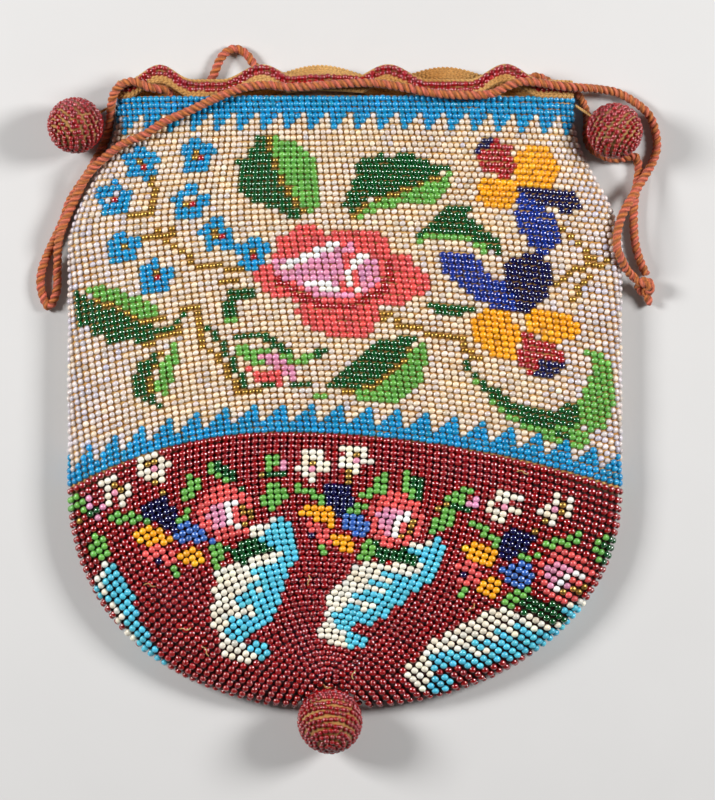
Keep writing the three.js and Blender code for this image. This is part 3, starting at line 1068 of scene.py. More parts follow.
class BaseFlowers:
    """The horn of flowers that repeats round the ruby base, drawn once and carried to each sector."""

    BUD_GREEN = ((261, 469), (264, 457), (272, 451), (279, 460), (276, 470))
    BUD_PINK = ((282, 458), (288, 460), (288, 474), (281, 472))
    BUD_DARK = ((272, 474), (288, 477))
    BUD_GOLD = ((262, 478), (266, 473))
    WHITE_FLOWERS = ((312, 465), (355, 458))
    FLOWER_STALK = ((351, 468), (349, 487))
    LEAF_LEFT = ((296, 487), (304, 489), (312, 493), (322, 499))
    NAVY = ((322, 489), (328, 484), (344, 484), (352, 490), (354, 502), (348, 510), (338, 520), (328, 505))
    BLUE = ((340, 520), (347, 514), (361, 516), (370, 526), (369, 538), (354, 535), (342, 528))
    YELLOW_UPPER = ((300, 509), (310, 502), (326, 504), (335, 517), (334, 526), (312, 519), (302, 513))
    YELLOW_LOWER = ((328, 534), (345, 535), (355, 544), (353, 552), (342, 553), (334, 546), (328, 540))
    CORAL = ((304, 523), (316, 522), (329, 529), (330, 541), (325, 546), (316, 542), (305, 530))
    NAVY_SPOT = (314, 535)
    GREEN_SPOT = (322, 550)
    LEAF_TOP = ((359, 496), (368, 488), (382, 474), (389, 475), (389, 487), (382, 494), (363, 499))
    LEAF_BIT = ((350, 511), (363, 506))
    ROSE = (395, 519)
    ROSE_PINK = (390, 520)
    ROSE_RADIUS = 27.0
    ROSE_PINK_RADIUS = 14.0
    SPOT_RADIUS = 5.0
    ROSE_WHITE = ((407, 516), (401, 515), (395, 521), (396, 533))
    ROSE_GOLD = ((409, 521), (415, 525), (414, 531), (403, 534))
    LEAF_RIGHT_DARK = ((410, 471), (421, 480), (422, 501), (420, 508), (414, 494), (408, 482))
    LEAF_RIGHT_LIGHT = ((401, 471), (409, 473), (408, 483), (413, 492), (415, 501), (410, 501), (403, 486))
    LEAF_FAR = ((430, 531), (434, 518), (446, 508), (458, 510), (456, 525), (438, 532))
    HORN = (
        (405, 545), (409, 538), (421, 542), (428, 537), (436, 537), (439, 533), (444, 551), (443, 561),
        (432, 576), (419, 586), (404, 599), (386, 615), (369, 622), (358, 620), (348, 627), (345, 632),
        (364, 634), (364, 644), (351, 650), (327, 644), (319, 634), (325, 615), (328, 598), (341, 583),
        (351, 570), (358, 563), (372, 558), (386, 566), (392, 560),
    )
    HORN_BLUE = (
        (404, 547), (415, 548), (424, 545), (434, 543), (438, 532), (445, 551), (444, 561), (433, 577),
        (419, 587), (404, 600), (386, 616), (369, 623), (358, 621), (348, 628), (346, 632), (365, 634),
        (365, 645), (350, 651), (346, 636), (336, 622), (330, 617), (346, 604), (358, 607), (367, 610),
        (375, 604), (372, 600), (356, 599), (353, 594), (371, 590), (389, 593), (386, 588), (372, 585),
        (366, 580), (378, 581), (398, 584), (384, 575), (382, 571), (404, 575), (421, 571), (420, 563),
    )
    MOUTH_LIGHT = ((369, 535), (375, 538), (375, 552), (369, 557), (357, 563), (359, 555), (365, 543))
    MOUTH_DARK = (
        (375, 541), (383, 549), (404, 546), (420, 562), (411, 566), (389, 559), (384, 570), (376, 555),
    )
    ANCHORS = ((338, 500), (393, 521), (340, 645))
    OTHER_ANCHORS = (
        ((162, 515), (226, 515), (250, 660)),
        ((512, 545), (561, 576), (420, 685)),
    )
    EDGE_HORN = (
        (106, 560), (129, 576), (136, 601), (140, 621), (154, 644), (174, 674), (147, 655), (117, 617),
        (99, 594), (95, 583), (101, 571),
    )
    EDGE_WHITES = (((104, 566), (101, 580), (104, 592)), ((114, 604), (120, 618)), ((128, 630), (132, 638)))
    EDGE_BUD_GREEN = ((82, 512), (90, 500), (97, 508), (94, 520))
    EDGE_BUD_PINK = ((97, 502), (104, 506), (102, 520), (96, 518))
    EDGE_LEAF = ((90, 534), (104, 538), (111, 552), (104, 564), (92, 552))

    def motif(self) -> list[Mark]:
        """Draws one horn of flowers, as it lies in the middle of the base.

        Returns:
            The fields and lines, the last on top.
        """
        made: list[Mark] = [
            Patch(Bead.LIGHT_GREEN, self.BUD_GREEN), Patch(Bead.PINK, self.BUD_PINK),
            Stem(Bead.DARK_GREEN, self.BUD_DARK, LINE), Stem(Bead.GOLD, self.BUD_GOLD, RIB),
            Stem(Bead.GOLD, self.FLOWER_STALK, STALK), Stem(Bead.LIGHT_GREEN, self.LEAF_LEFT, LEAF_LINE),
            Patch(Bead.LIGHT_GREEN, self.LEAF_TOP), Stem(Bead.LIGHT_GREEN, self.LEAF_BIT, LEAF_LINE),
            Patch(Bead.DARK_GREEN, self.LEAF_RIGHT_DARK), Patch(Bead.LIGHT_GREEN, self.LEAF_RIGHT_LIGHT),
            Patch(Bead.LIGHT_GREEN, self.LEAF_FAR), Patch(Bead.CHALK, self.HORN),
            Patch(Bead.PALE_BLUE, self.HORN_BLUE),
            Patch(Bead.LIGHT_GREEN, self.MOUTH_LIGHT), Patch(Bead.DARK_GREEN, self.MOUTH_DARK),
            Spot(Bead.CORAL, self.ROSE, self.ROSE_RADIUS),
            Spot(Bead.PINK, self.ROSE_PINK, self.ROSE_PINK_RADIUS),
            Stem(Bead.WHITE, self.ROSE_WHITE, FULL_LINE), Stem(Bead.GOLD, self.ROSE_GOLD, LINE),
            Patch(Bead.NAVY, self.NAVY), Patch(Bead.CORNFLOWER, self.BLUE),
            Patch(Bead.YELLOW, self.YELLOW_UPPER), Patch(Bead.YELLOW, self.YELLOW_LOWER),
            Patch(Bead.CORAL, self.CORAL), Spot(Bead.NAVY, self.NAVY_SPOT, self.SPOT_RADIUS),
            Spot(Bead.LIGHT_GREEN, self.GREEN_SPOT, self.SPOT_RADIUS),
        ]
        for place in self.WHITE_FLOWERS:
            made.extend(WHITE_FLOWER.marks(place))
        return made

    def marks(self) -> list[Mark]:
        """Puts the horns on the base, with the part of one that turns over the left edge.

        Returns:
            The fields and lines, the last on top.
        """
        first = self.motif()
        made: list[Mark] = [
            Patch(Bead.PALE_BLUE, self.EDGE_HORN), Patch(Bead.LIGHT_GREEN, self.EDGE_BUD_GREEN),
            Patch(Bead.PINK, self.EDGE_BUD_PINK), Patch(Bead.LIGHT_GREEN, self.EDGE_LEAF),
        ]
        for line in self.EDGE_WHITES:
            made.append(Stem(Bead.CHALK, line, EDGE_LINE))
        for anchors in self.OTHER_ANCHORS:
            fit = fit_between(self.ANCHORS, anchors)
            made.extend(mark.moved(fit) for mark in first)
        return made + first


@dataclass(frozen=True)
class Chart:
    """Turns a place on the flat bag into a bead colour."""

    unit: float = 0.3
    origin: Point = (345.0, 97.0)
    top_teeth: tuple[int, ...] = (3, 4, 5, 6)
    low_teeth: tuple[int, ...] = (5, 4, 3, 2)

    def places(self, centre: Array, mirror: Array) -> tuple[Array, Array]:
        """The chart places of beads, where the hidden back repeats the face.

        Args:
            centre: bead centres in millimetres.
            mirror: true for the beads on the back.

        Returns:
            The places across and down the chart.
        """
        x = np.where(mirror, -centre[:, 0], centre[:, 0]) / self.unit + self.origin[0]
        y = (MOUTH_Y - centre[:, 1]) / self.unit + self.origin[1]
        return x, y

    def paint(self, marks: list[Mark], field_bead: Bead, centre: Array, mirror: Array) -> Array:
        """Colours beads by the marks that lie over them.

        Args:
            marks: fields and lines, the last on top.
            field_bead: the colour of the ground.
            centre: bead centres in millimetres.
            mirror: true for the beads on the back.

        Returns:
            A colour number for each bead.
        """
        x, y = self.places(centre, mirror)
        colour = np.full(len(centre), field_bead.number)
        for mark in marks:
            colour[mark.covers(x, y)] = mark.bead.number
        return colour


@dataclass(frozen=True)
class BagShape:
    """The flat bag's surface, from the same sizes as the solid."""

    mouth_width: float = 138.0
    bag_width: float = 167.0
    shoulder_depth: float = 6.0
    shoulder_length: float = 39.0
    body_length: float = 184.0
    base_edge_depth: float = 117.0
    base_centre_depth: float = 100.5
    base_squareness: float = 2.15
    pole_x: float = -4.5
    arch_peak_x: float = -20.0
    wall: float = 2.2
    mouth_thickness: float = 12.5
    base_thickness: float = 13.5
    edge_height: float = 3.2
    floor_press: float = 0.65
    notch_radius: float = 8.9
    ball_drop: float = 3.0
    pole_depth: float = 178.1
    fine_steps: int = 600
    half_turn_end: float = 0.49999
    loop_steps: int = 800

    def half_width(self, depth: Array | float) -> Array:
        """Half the flat width at a depth below the mouth."""
        share = smooth_share(depth, self.shoulder_depth, self.shoulder_depth + self.shoulder_length)
        return mix(self.mouth_width, self.bag_width, share) / 2

    @staticmethod
    def round_place(around: Array) -> tuple[Array, Array, Array]:
        """Where a share of a turn lies on the flat bag.

        Args:
            around: shares of a turn, from the right edge over the face to the left edge and back below.

        Returns:
            The place across from -1 to 1, the lift from the edge from 0 to 1, and whether it is on the face.
        """
        turn = np.asarray(around, float) % 1.0
        across = np.cos(2 * np.pi * turn)
        lift = np.cbrt(np.maximum(0, 1 - np.abs(across) ** 3))
        return across, lift, turn <= 0.5

    def surface(self, course: Array, around: Array, inset: float) -> Array:
        """Points on the bag's surface.

        Args:
            course: 0 at the mouth, 1 where the base starts and 2 at the base's pole.
            around: shares of a turn.
            inset: how far inside the outer surface the points lie.

        Returns:
            One row of x, y and z in millimetres for each place.
        """
        course, around = np.broadcast_arrays(np.asarray(course, float), np.asarray(around, float))
        across, lift, front = self.round_place(around)
        side = np.abs(across)
        upper = np.minimum(course, 1)
        way = np.clip(course - 1, 0, 1)
        power = 2 / self.base_squareness
        reach = np.maximum(np.cos(way * np.pi / 2), 0) ** power
        drop = np.sin(way * np.pi / 2) ** power
        half = self.half_width(upper * self.base_edge_depth) - inset
        left = self.pole_x * (1 - reach) - half * reach
        right = self.pole_x * (1 - reach) + half * reach
        in_base = course > 1
        left = np.where(in_base, left, -half)
        right = np.where(in_base, right, half)
        crown_x = np.where(in_base, mix(self.arch_peak_x, self.pole_x, way), self.arch_peak_x * upper)
        pole = mix(self.base_centre_depth, self.pole_depth - inset, way)
        crown_depth = np.where(in_base, pole, self.base_centre_depth * upper)
        off = np.minimum(right - self.pole_x, self.pole_x - left)
        notch = np.maximum(0, np.sqrt(np.maximum(0, self.notch_radius**2 - off**2)) - self.ball_drop)
        low_edge = self.base_edge_depth + (self.body_length - inset - self.base_edge_depth) * drop - notch
        edge_depth = np.where(in_base, low_edge, self.base_edge_depth * upper)
        lift = lift * np.sqrt(np.maximum(0, 1 - way**2))
        thickness = mix(self.mouth_thickness, self.base_thickness, upper)
        above = self.edge_height + (thickness - self.edge_height - inset) * lift
        below = self.edge_height - (self.edge_height - inset + self.floor_press) * lift
        height = np.maximum(np.where(front, above, below), inset)
        end = np.where(across < 0, left, right)
        depth = crown_depth + (edge_depth - crown_depth) * side**2
        return np.stack([crown_x + (end - crown_x) * side, MOUTH_Y - depth, height], axis=-1)

    def even_turns(self, course: float, inset: float, shares: Array) -> Array:
        """Turns that are spaced evenly by length along a course, on the face and on the back apart.

        Args:
            course: the course.
            inset: how far inside the outer surface it runs.
            shares: shares of the course's length, where the face is 0 to 0.5.

        Returns:
            The turns to give to surface.
        """
        turns = np.empty(len(shares))
        for start in (0.0, 0.5):
            fine = start + np.linspace(0, 0.5, self.fine_steps + 1)
            line = self.surface(course, np.minimum(fine, start + self.half_turn_end), inset)
            run = run_along(line)
            mine = (shares >= start) & (shares < start + 0.5)
            turns[mine] = np.interp((shares[mine] - start) * 2, run / max(run[-1], TINY), fine)
        return turns

    def loop_length(self, course: float, inset: float) -> float:
        """The length once round a course."""
        return length_of(self.surface(course, np.linspace(0, 1, self.loop_steps + 1), inset))


@dataclass
class BeadedBag:
    """The bag itself: a knitted thread ground with a bead on every stitch."""

    shape: BagShape = field(default_factory=BagShape)
    chart: Chart = field(default_factory=Chart)
    columns: int = 164
    side_rows: int = 60
    base_rows: int = 46
    sectors: int = 6
    sector_phase: float = 0.154
    lean: float = 0.13
    centre_inset: float = 0.8
    bead_depth: float = 1.62
    ground_inset: float = 1.1
    base_ground_inset: float = 1.45
    jitter: float = 0.07
    jitter_way: Triple = (1, 1, 0.4)
    bead_lean: Span = (0.36, 0.1)
    side_step: float = 0.002
    pole_course: float = 1.999
    last_course: float = 1.995
    place_heights: Span = (0.9, 2.1)
    size_spread: float = 0.045
    half_lengths: Span = (0.55, 1.12)
    half_heights: Span = (0.5, 1.04)
    floor_gap: float = 0.02
    ground_end: float = 0.995
    ground_steps: int = 220
    base_span: Span = (1.0, 1.015)
    back_tilt: float = -0.25
    fray_tilt: float = 0.3
    fray_step: float = 0.25
    fray_radius: float = 0.2
    fray_pitch: float = 1.2
    fray_sides: int = 5
    fray_colours: tuple[Colour, ...] = ((196, 140, 64), (170, 112, 46))
    fray_places: tuple[Point, ...] = (
        (310, 581), (188, 627), (206, 646), (152, 587), (322, 687), (470, 610), (350, 671), (520, 470),
    )
    fray_bend: Triples = (
        (-1.7, -0.5, 0.5), (-0.8, 0.1, 0.95), (0.2, 0.0, 1.05), (0.9, 0.5, 1.0), (1.2, 1.3, 0.7),
    )

    def bead_rows(self, rng: Rng) -> tuple[BeadSet, BeadSet]:
        """Places all the beads of the sides and of the base.

        Args:
            rng: the source of the small unevenness of hand knitting.

        Returns:
            The side's beads and the base's beads, coloured.
        """
        sides = []
        bases = []
        for row in range(self.side_rows):
            shares = ((np.arange(self.columns) + 0.5 - self.lean * row) / self.columns) % 1.0
            beads = self.row((row + 0.5) / self.side_rows, 1 / self.side_rows, shares, rng)
            back = shares >= 0.5
            beads.colour = self.chart.paint(SIDE_MARKS, Bead.CREAM, beads.centre, back)
            tooth = np.arange(self.columns) % len(self.chart.top_teeth)
            beads.colour[row < np.array(self.chart.top_teeth)[tooth]] = Bead.TURQUOISE.number
            from_base = self.side_rows - row
            beads.colour[from_base <= np.array(self.chart.low_teeth)[tooth]] = Bead.TURQUOISE.number
            sides.append(beads)
        whole = self.shape.loop_length(1.0, self.centre_inset)
        for row in range(self.base_rows):
            course = 1 + (row + 0.5) / self.base_rows
            length = self.shape.loop_length(min(course, self.last_course), self.centre_inset)
            in_sector = max(1, round(self.columns / self.sectors * length / whole))
            sector, place = np.divmod(np.arange(in_sector * self.sectors), in_sector)
            shares = ((sector + (place + 0.5) / in_sector) / self.sectors + self.sector_phase) % 1.0
            beads = self.row(course, 1 / self.base_rows, shares, rng)
            back = shares >= 0.5
            beads.colour = self.chart.paint(BASE_MARKS, Bead.RUBY, beads.centre, back)
            bases.append(beads)
        return BeadSet.together(sides), BeadSet.together(bases)

    def row(self, course: float, step: float, shares: Array, rng: Rng) -> BeadSet:
        """Places one course of beads.

        Args:
            course: the course's place.
            step: how far the next course lies.
            shares: each bead's share of the way round.
            rng: the source of unevenness.

        Returns:
            The beads, each with the size of its place and no colour yet.
        """
        inset = self.centre_inset
        turns = self.shape.even_turns(course, inset, shares)
        centre = self.shape.surface(course, turns, inset)
        aside = self.shape.even_turns(course, inset, (shares + self.side_step) % 1.0)
        along = unit(self.shape.surface(course, aside, inset) - centre)
        above = self.shape.surface(max(course - step / 2, 0), turns, inset)
        down = self.shape.surface(min(course + step / 2, self.pole_course), turns, inset) - above
        up = unit(np.cross(along, down))
        gaps = np.linalg.norm(np.roll(centre, -1, axis=0) - centre, axis=1)
        width = np.minimum(gaps, np.roll(gaps, 1))
        tall = np.linalg.norm(down - along * np.sum(down * along, axis=1, keepdims=True), axis=1)
        tall = np.clip(tall, *self.place_heights)
        size = np.stack([width / 2, tall / 2, np.full(len(centre), self.bead_depth / 2)], axis=1)
        centre = centre + rng.normal(0, self.jitter, centre.shape) * np.array(self.jitter_way)
        lean = rng.normal(*self.bead_lean, (len(centre), 1))
        along = unit(along + unit(down) * lean)
        return BeadSet(centre, along, up, size, np.zeros(len(centre), int))

    def sized(self, beads: BeadSet, rng: Rng) -> BeadSet:
        """Gives each bead the size of its kind of glass, a little uneven.

        Args:
            beads: coloured beads, with the size of their places.
            rng: the source of unevenness.

        Returns:
            The same beads.
        """
        fill = np.array([bead.finish.value for bead in Bead])[beads.colour]
        uneven = 1 + rng.normal(0, self.size_spread, beads.size.shape)
        beads.size = beads.size * fill[:, None] * uneven
        beads.size[:, 0] = np.clip(beads.size[:, 0], *self.half_lengths)
        beads.size[:, 1] = np.clip(beads.size[:, 1], *self.half_heights)
        lowest = beads.size[:, 2] + self.floor_gap
        beads.centre[:, 2] = np.maximum(beads.centre[:, 2], lowest)
        return beads

    def ground(self) -> Piece:
        """Builds the knitted thread ground: an outer and an inner skin joined at the mouth.

        Returns:
            The new object, with painted shade where the base lies, dark between the base's beads.
        """
        side = np.linspace(0, 1, self.side_rows + 1)
        base = 1 + np.linspace(0, self.ground_end, self.base_rows + 1)[1:]
        courses = np.concatenate([side, base])
        turns = np.linspace(0, 1, self.ground_steps + 1)[:-1]
        in_base = smooth_share(courses, *self.base_span)
        skins = []
        outer = mix(self.ground_inset, self.base_ground_inset, in_base)
        for insets in (outer, np.full(len(courses), self.shape.wall)):
            lines = zip(courses, insets)
            skins.append(np.array([self.shape.surface(course, turns, inset) for course, inset in lines]))
        rows = np.concatenate([skins[0][::-1], skins[1]])
        faces = loop_faces(len(rows), self.ground_steps)
        obj = mesh_object("bag_thread_ground", rows.reshape(-1, 3), faces)
        # Painted shade: the ground darkens under the base's beads, in the gaps between them.
        gap_shade = np.concatenate([in_base[::-1], in_base])
        point_values(obj, "gap_shade", np.repeat(gap_shade, self.ground_steps))
        return obj

    def build(self, finishes: Finishes) -> None:
        """Makes the ground and the beads and dresses them.

        Args:
            finishes: the materials.
        """
        rng = np.random.default_rng(SEED)
        ground = seat(self.ground(), "bag", finishes.thread)
        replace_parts(ground, "bag_body")
        sides, bases = self.bead_rows(rng)
        sides = self.sized(sides, rng)
        bases = self.sized(bases, rng)
        self.dress("side", sides, finishes, rng)
        self.dress("base", bases, finishes, rng)
        self.fray(bases, finishes, rng)

    def fray(self, beads: BeadSet, finishes: Finishes, rng: Rng) -> None:
        """Lays a few worn thread ends over the base's beads.

        Args:
            beads: the base's beads.
            finishes: the materials.
            rng: the source of the ends' directions.
        """
        x, y = self.chart.places(beads.centre, np.zeros(len(beads.centre), bool))
        for number, (across, down) in enumerate(self.fray_places):
            apart = np.where(beads.up[:, 2] > self.fray_tilt, np.hypot(x - across, y - down), np.inf)
            nearest = int(np.argmin(apart))
            angle = rng.uniform(0, 2 * math.pi)
            cos = math.cos(angle)
            sin = math.sin(angle)
            turn = np.array([[cos, -sin, 0], [sin, cos, 0], [0, 0, 1]])
            bend = np.array(self.fray_bend) @ turn.T + beads.centre[nearest]
            line = smooth_route([tuple(point) for point in bend], self.fray_step)
            end = twisted(f"loose_thread_{number + 1}", line, self.fray_radius, self.fray_pitch,
                          self.fray_sides, self.fray_colours)
            seat(end, "bag", finishes.thread)

    def dress(self, place: str, beads: BeadSet, finishes: Finishes, rng: Rng) -> None:
        """Makes the beads of one region, a piece for each kind of glass, on the face and on the back.

        Args:
            place: the region's name.
            beads: the coloured beads.
            finishes: the materials.
            rng: the source of variation.
        """
        kinds = np.array([list(Finish).index(bead.finish) for bead in Bead])[beads.colour]
        face = beads.up[:, 2] > self.back_tilt
        halves = (("face", face, FACE_BEAD), ("back", ~face, BACK_BEAD))
        for side, part, form in halves:
            for index, finish in enumerate(Finish):
                keep = part & (kinds == index)
                if not keep.any():
                    continue
                label = f"{place}_{side}_{finish.name.lower()}_beads"
                made = beads.chosen(keep).make(label, form, rng)
                seat(made, "bag", finishes.glass[finish])


@dataclass(frozen=True)
class StitchRow:
    """A line of crochet chain stitches round the rim: where it runs and how its stitches lie."""

    name: str
    up: float
    inset: float
    stitches: int
    half_size: Triple
    slant: float
    from_turn: float = 0.0
    rise_scale: float = 1.0


@dataclass
class EyeletRim:
    """The mouth's edge: a crochet strip, eyelet arches and two courses of ruby beads."""

    half_width: float = 69.0
    thickness: float = 12.5
    edge_height: float = 4.6
    floor: float = 3.1
    wall: float = 2.0
    wall_steps: int = 320
    fine_steps: int = 2400
    strip_low: float = -0.6
    strip_lap: float = 0.3
    strip_inset: float = 0.6
    band_low: float = 1.6
    band_height: float = 3.3
    band_inset: float = 0.95
    bead_inset: float = 0.75
    bead_half: Triple = (0.92, 0.86, 0.75)
    bead_step: float = 0.0015
    beads_round: int = 168
    size_spread: float = 0.05
    jitter: float = 0.08
    row_heights: tuple[float, ...] = (1.8, 3.4)
    row_rise: float = 1.13
    stitch_step: float = 0.001
    edging: StitchRow = StitchRow(
        "rim_edging", up=4.5, inset=0.95, stitches=210, half_size=(0.88, 0.44, 0.44), slant=0.45,
        rise_scale=0.92)
    lining: StitchRow = StitchRow(
        "rim_lining", up=0.0, inset=1.85, stitches=220, half_size=(0.85, 0.42, 0.42), slant=0.5,
        from_turn=0.5)
    lining_heights: tuple[float, ...] = (1.9, 2.6, 3.3, 4.0, 4.7)
    chains: StitchRow = StitchRow(
        "eyelet_chain", up=0.0, inset=0.7, stitches=210, half_size=(0.88, 0.46, 0.48), slant=0.45)
    chain_heights: tuple[float, ...] = (0.05, 0.75, 1.4)
    front_arches: Triples = (
        (-0.402, 0.0725, 1.36), (-0.18, 0.087, 1.36), (-0.0435, 0.2175, 0.6), (0.0935, 0.087, 1.36),
        (0.348, 0.08, 1.42),
    )
    back_arches: Triples = ((-0.054, 0.16, 1.39), (0.217, 0.145, 1.21))

    def arch_rise(self, x: Array, arches: Triples) -> Array:
        """Finds how far the rim lifts into an arch at places across the mouth.

        Args:
            x: the places.
            arches: each arch's place and half width, as shares of the mouth, and its rise.

        Returns:
            The lift at each place.
        """
        rises = np.zeros(np.shape(x))
        for place, half, rise in arches:
            off = np.minimum(1, np.abs(x / (2 * self.half_width) - place) / half)
            rises = np.maximum(rises, rise * self.band_height * (0.5 + 0.5 * np.cos(np.pi * off)))
        return rises

    def ring(self, turns: Array, up: float, inset: float, rise_scale: float = 1.0) -> Array:
        """A line once round the mouth.

        Args:
            turns: shares of a turn, with the face first.
            up: how far above the mouth's edge it runs.
            inset: how far inside the rim's outer face it runs.
            rise_scale: how much of an arch's rise it follows.

        Returns:
            One row of x, y and z for each turn.
        """
        across, lift, front = BagShape.round_place(turns)
        x = (self.half_width - inset) * across
        above = self.thickness - inset - self.edge_height
        below = self.edge_height - self.floor - inset
        z = self.edge_height + np.where(front, above, -below) * lift
        rise = np.where(front, self.arch_rise(x, self.front_arches), self.arch_rise(x, self.back_arches))
        return np.stack([x, MOUTH_Y + up + rise_scale * rise, z], axis=-1)

    def even_turns(self, count: int, up: float) -> Array:
        """Spaces turns evenly by length round the rim.

        Args:
            count: how many turns there are.
            up: the height of the line that they are measured on.

        Returns:
            The turns.
        """
        fine = np.linspace(0, 1, self.fine_steps + 1)
        run = run_along(self.ring(fine, up, self.bead_inset))
        return np.interp((np.arange(count) + 0.5) / count * run[-1], run, fine)

    def wall_ring(self, name: str, low: float, high: float, outer: float) -> Piece:
        """Builds a ring of thread fabric between two heights.

        Args:
            name: the piece's name.
            low: its lower edge above the mouth.
            high: its upper edge.
            outer: how far its outer face lies inside the rim's.

        Returns:
            The new object.
        """
        turns = np.linspace(0, 1, self.wall_steps + 1)[:-1]
        middle = (low + high) / 2
        rows = [self.ring(turns, up, inset) for up, inset in (
            (low, outer), (middle, outer), (high, outer), (high, self.wall), (middle, self.wall),
            (low, self.wall))]
        faces = loop_faces(len(rows), self.wall_steps, closed=True)
        return mesh_object(name, np.concatenate(rows), faces[:, ::-1])

    @staticmethod
    def outward(along: Array, turns: Array) -> Array:
        """Finds the directions out of the rim's wall.

        Args:
            along: the directions along the rim.
            turns: their shares of a turn.

        Returns:
            One direction for each turn.
        """
        out = unit(np.cross(RIM_UP, along))
        out[out[:, 2] * np.where(turns <= 0.5, 1, -1) < 0] *= -1
        return out

    def chain(self, row: StitchRow, finishes: Finishes) -> None:
        """Makes a line of crochet chain stitches and dresses it.

        Args:
            row: the line.
            finishes: the materials.
        """
        turns = self.even_turns(row.stitches, row.up)
        turns = turns[turns > row.from_turn]
        centre = self.ring(turns, row.up, row.inset, row.rise_scale)
        ahead = self.ring(turns + self.stitch_step, row.up, row.inset, row.rise_scale)
        along = unit(unit(ahead - centre) + RIM_UP * row.slant)
        size = np.tile(row.half_size, (len(turns), 1))
        beads = BeadSet(centre, along, self.outward(along, turns), size, np.zeros(len(turns), int))
        made = beads.make(row.name, STITCH, np.random.default_rng(SEED))
        seat(made, "bag", finishes.thread)

    def chain_rows(self, like: StitchRow, heights: tuple[float, ...], finishes: Finishes) -> None:
        """Makes lines of stitches that slant to and fro in turn.

        Args:
            like: what the lines have in common.
            heights: each line's height above the mouth's edge.
            finishes: the materials.
        """
        for number, up in enumerate(heights):
            slant = like.slant if number % 2 else -like.slant
            self.chain(replace(like, name=f"{like.name}_{number + 1}", up=up, slant=slant), finishes)

    def bead_row(self, name: str, up: float, rng: Rng) -> Piece:
        """Builds one course of ruby beads.

        Args:
            name: the piece's name.
            up: the course's height above the mouth's edge.
            rng: the source of unevenness.

        Returns:
            The new object.
        """
        turns = self.even_turns(self.beads_round, up)
        centre = self.ring(turns, up, self.bead_inset, self.row_rise)
        along = unit(self.ring(turns + self.bead_step, up, self.bead_inset, self.row_rise) - centre)
        out = self.outward(along, turns)
        uneven = 1 + rng.normal(0, self.size_spread, (len(turns), 3))
        size = np.tile(self.bead_half, (len(turns), 1)) * uneven
        centre = centre + rng.normal(0, self.jitter, centre.shape)
        beads = BeadSet(centre, along, out, size, np.full(len(turns), Bead.RUBY.number))
        return beads.make(name, FACE_BEAD, rng)

    def build(self, finishes: Finishes) -> None:
        """Makes the strip and the band, then the beads, the lining, the edging and the chains on them.

        Args:
            finishes: the materials.
        """
        rng = np.random.default_rng(SEED + 1)
        strip_high = self.band_low + self.strip_lap
        strip = self.wall_ring("eyelet_crochet", self.strip_low, strip_high, self.strip_inset)
        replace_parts(seat(strip, "bag", finishes.thread), "eyelet_strip")
        band_high = self.band_low + self.band_height
        band = self.wall_ring("rim_thread_band", self.band_low, band_high, self.band_inset)
        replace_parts(seat(band, "bag", finishes.thread), "rim_band")
        for number, up in enumerate(self.row_heights):
            made = self.bead_row(f"rim_ruby_beads_{number + 1}", up, rng)
            seat(made, "bag", finishes.ball_glass)
        self.chain_rows(self.lining, self.lining_heights, finishes)
        self.chain(self.edging, finishes)
        self.chain_rows(self.chains, self.chain_heights, finishes)


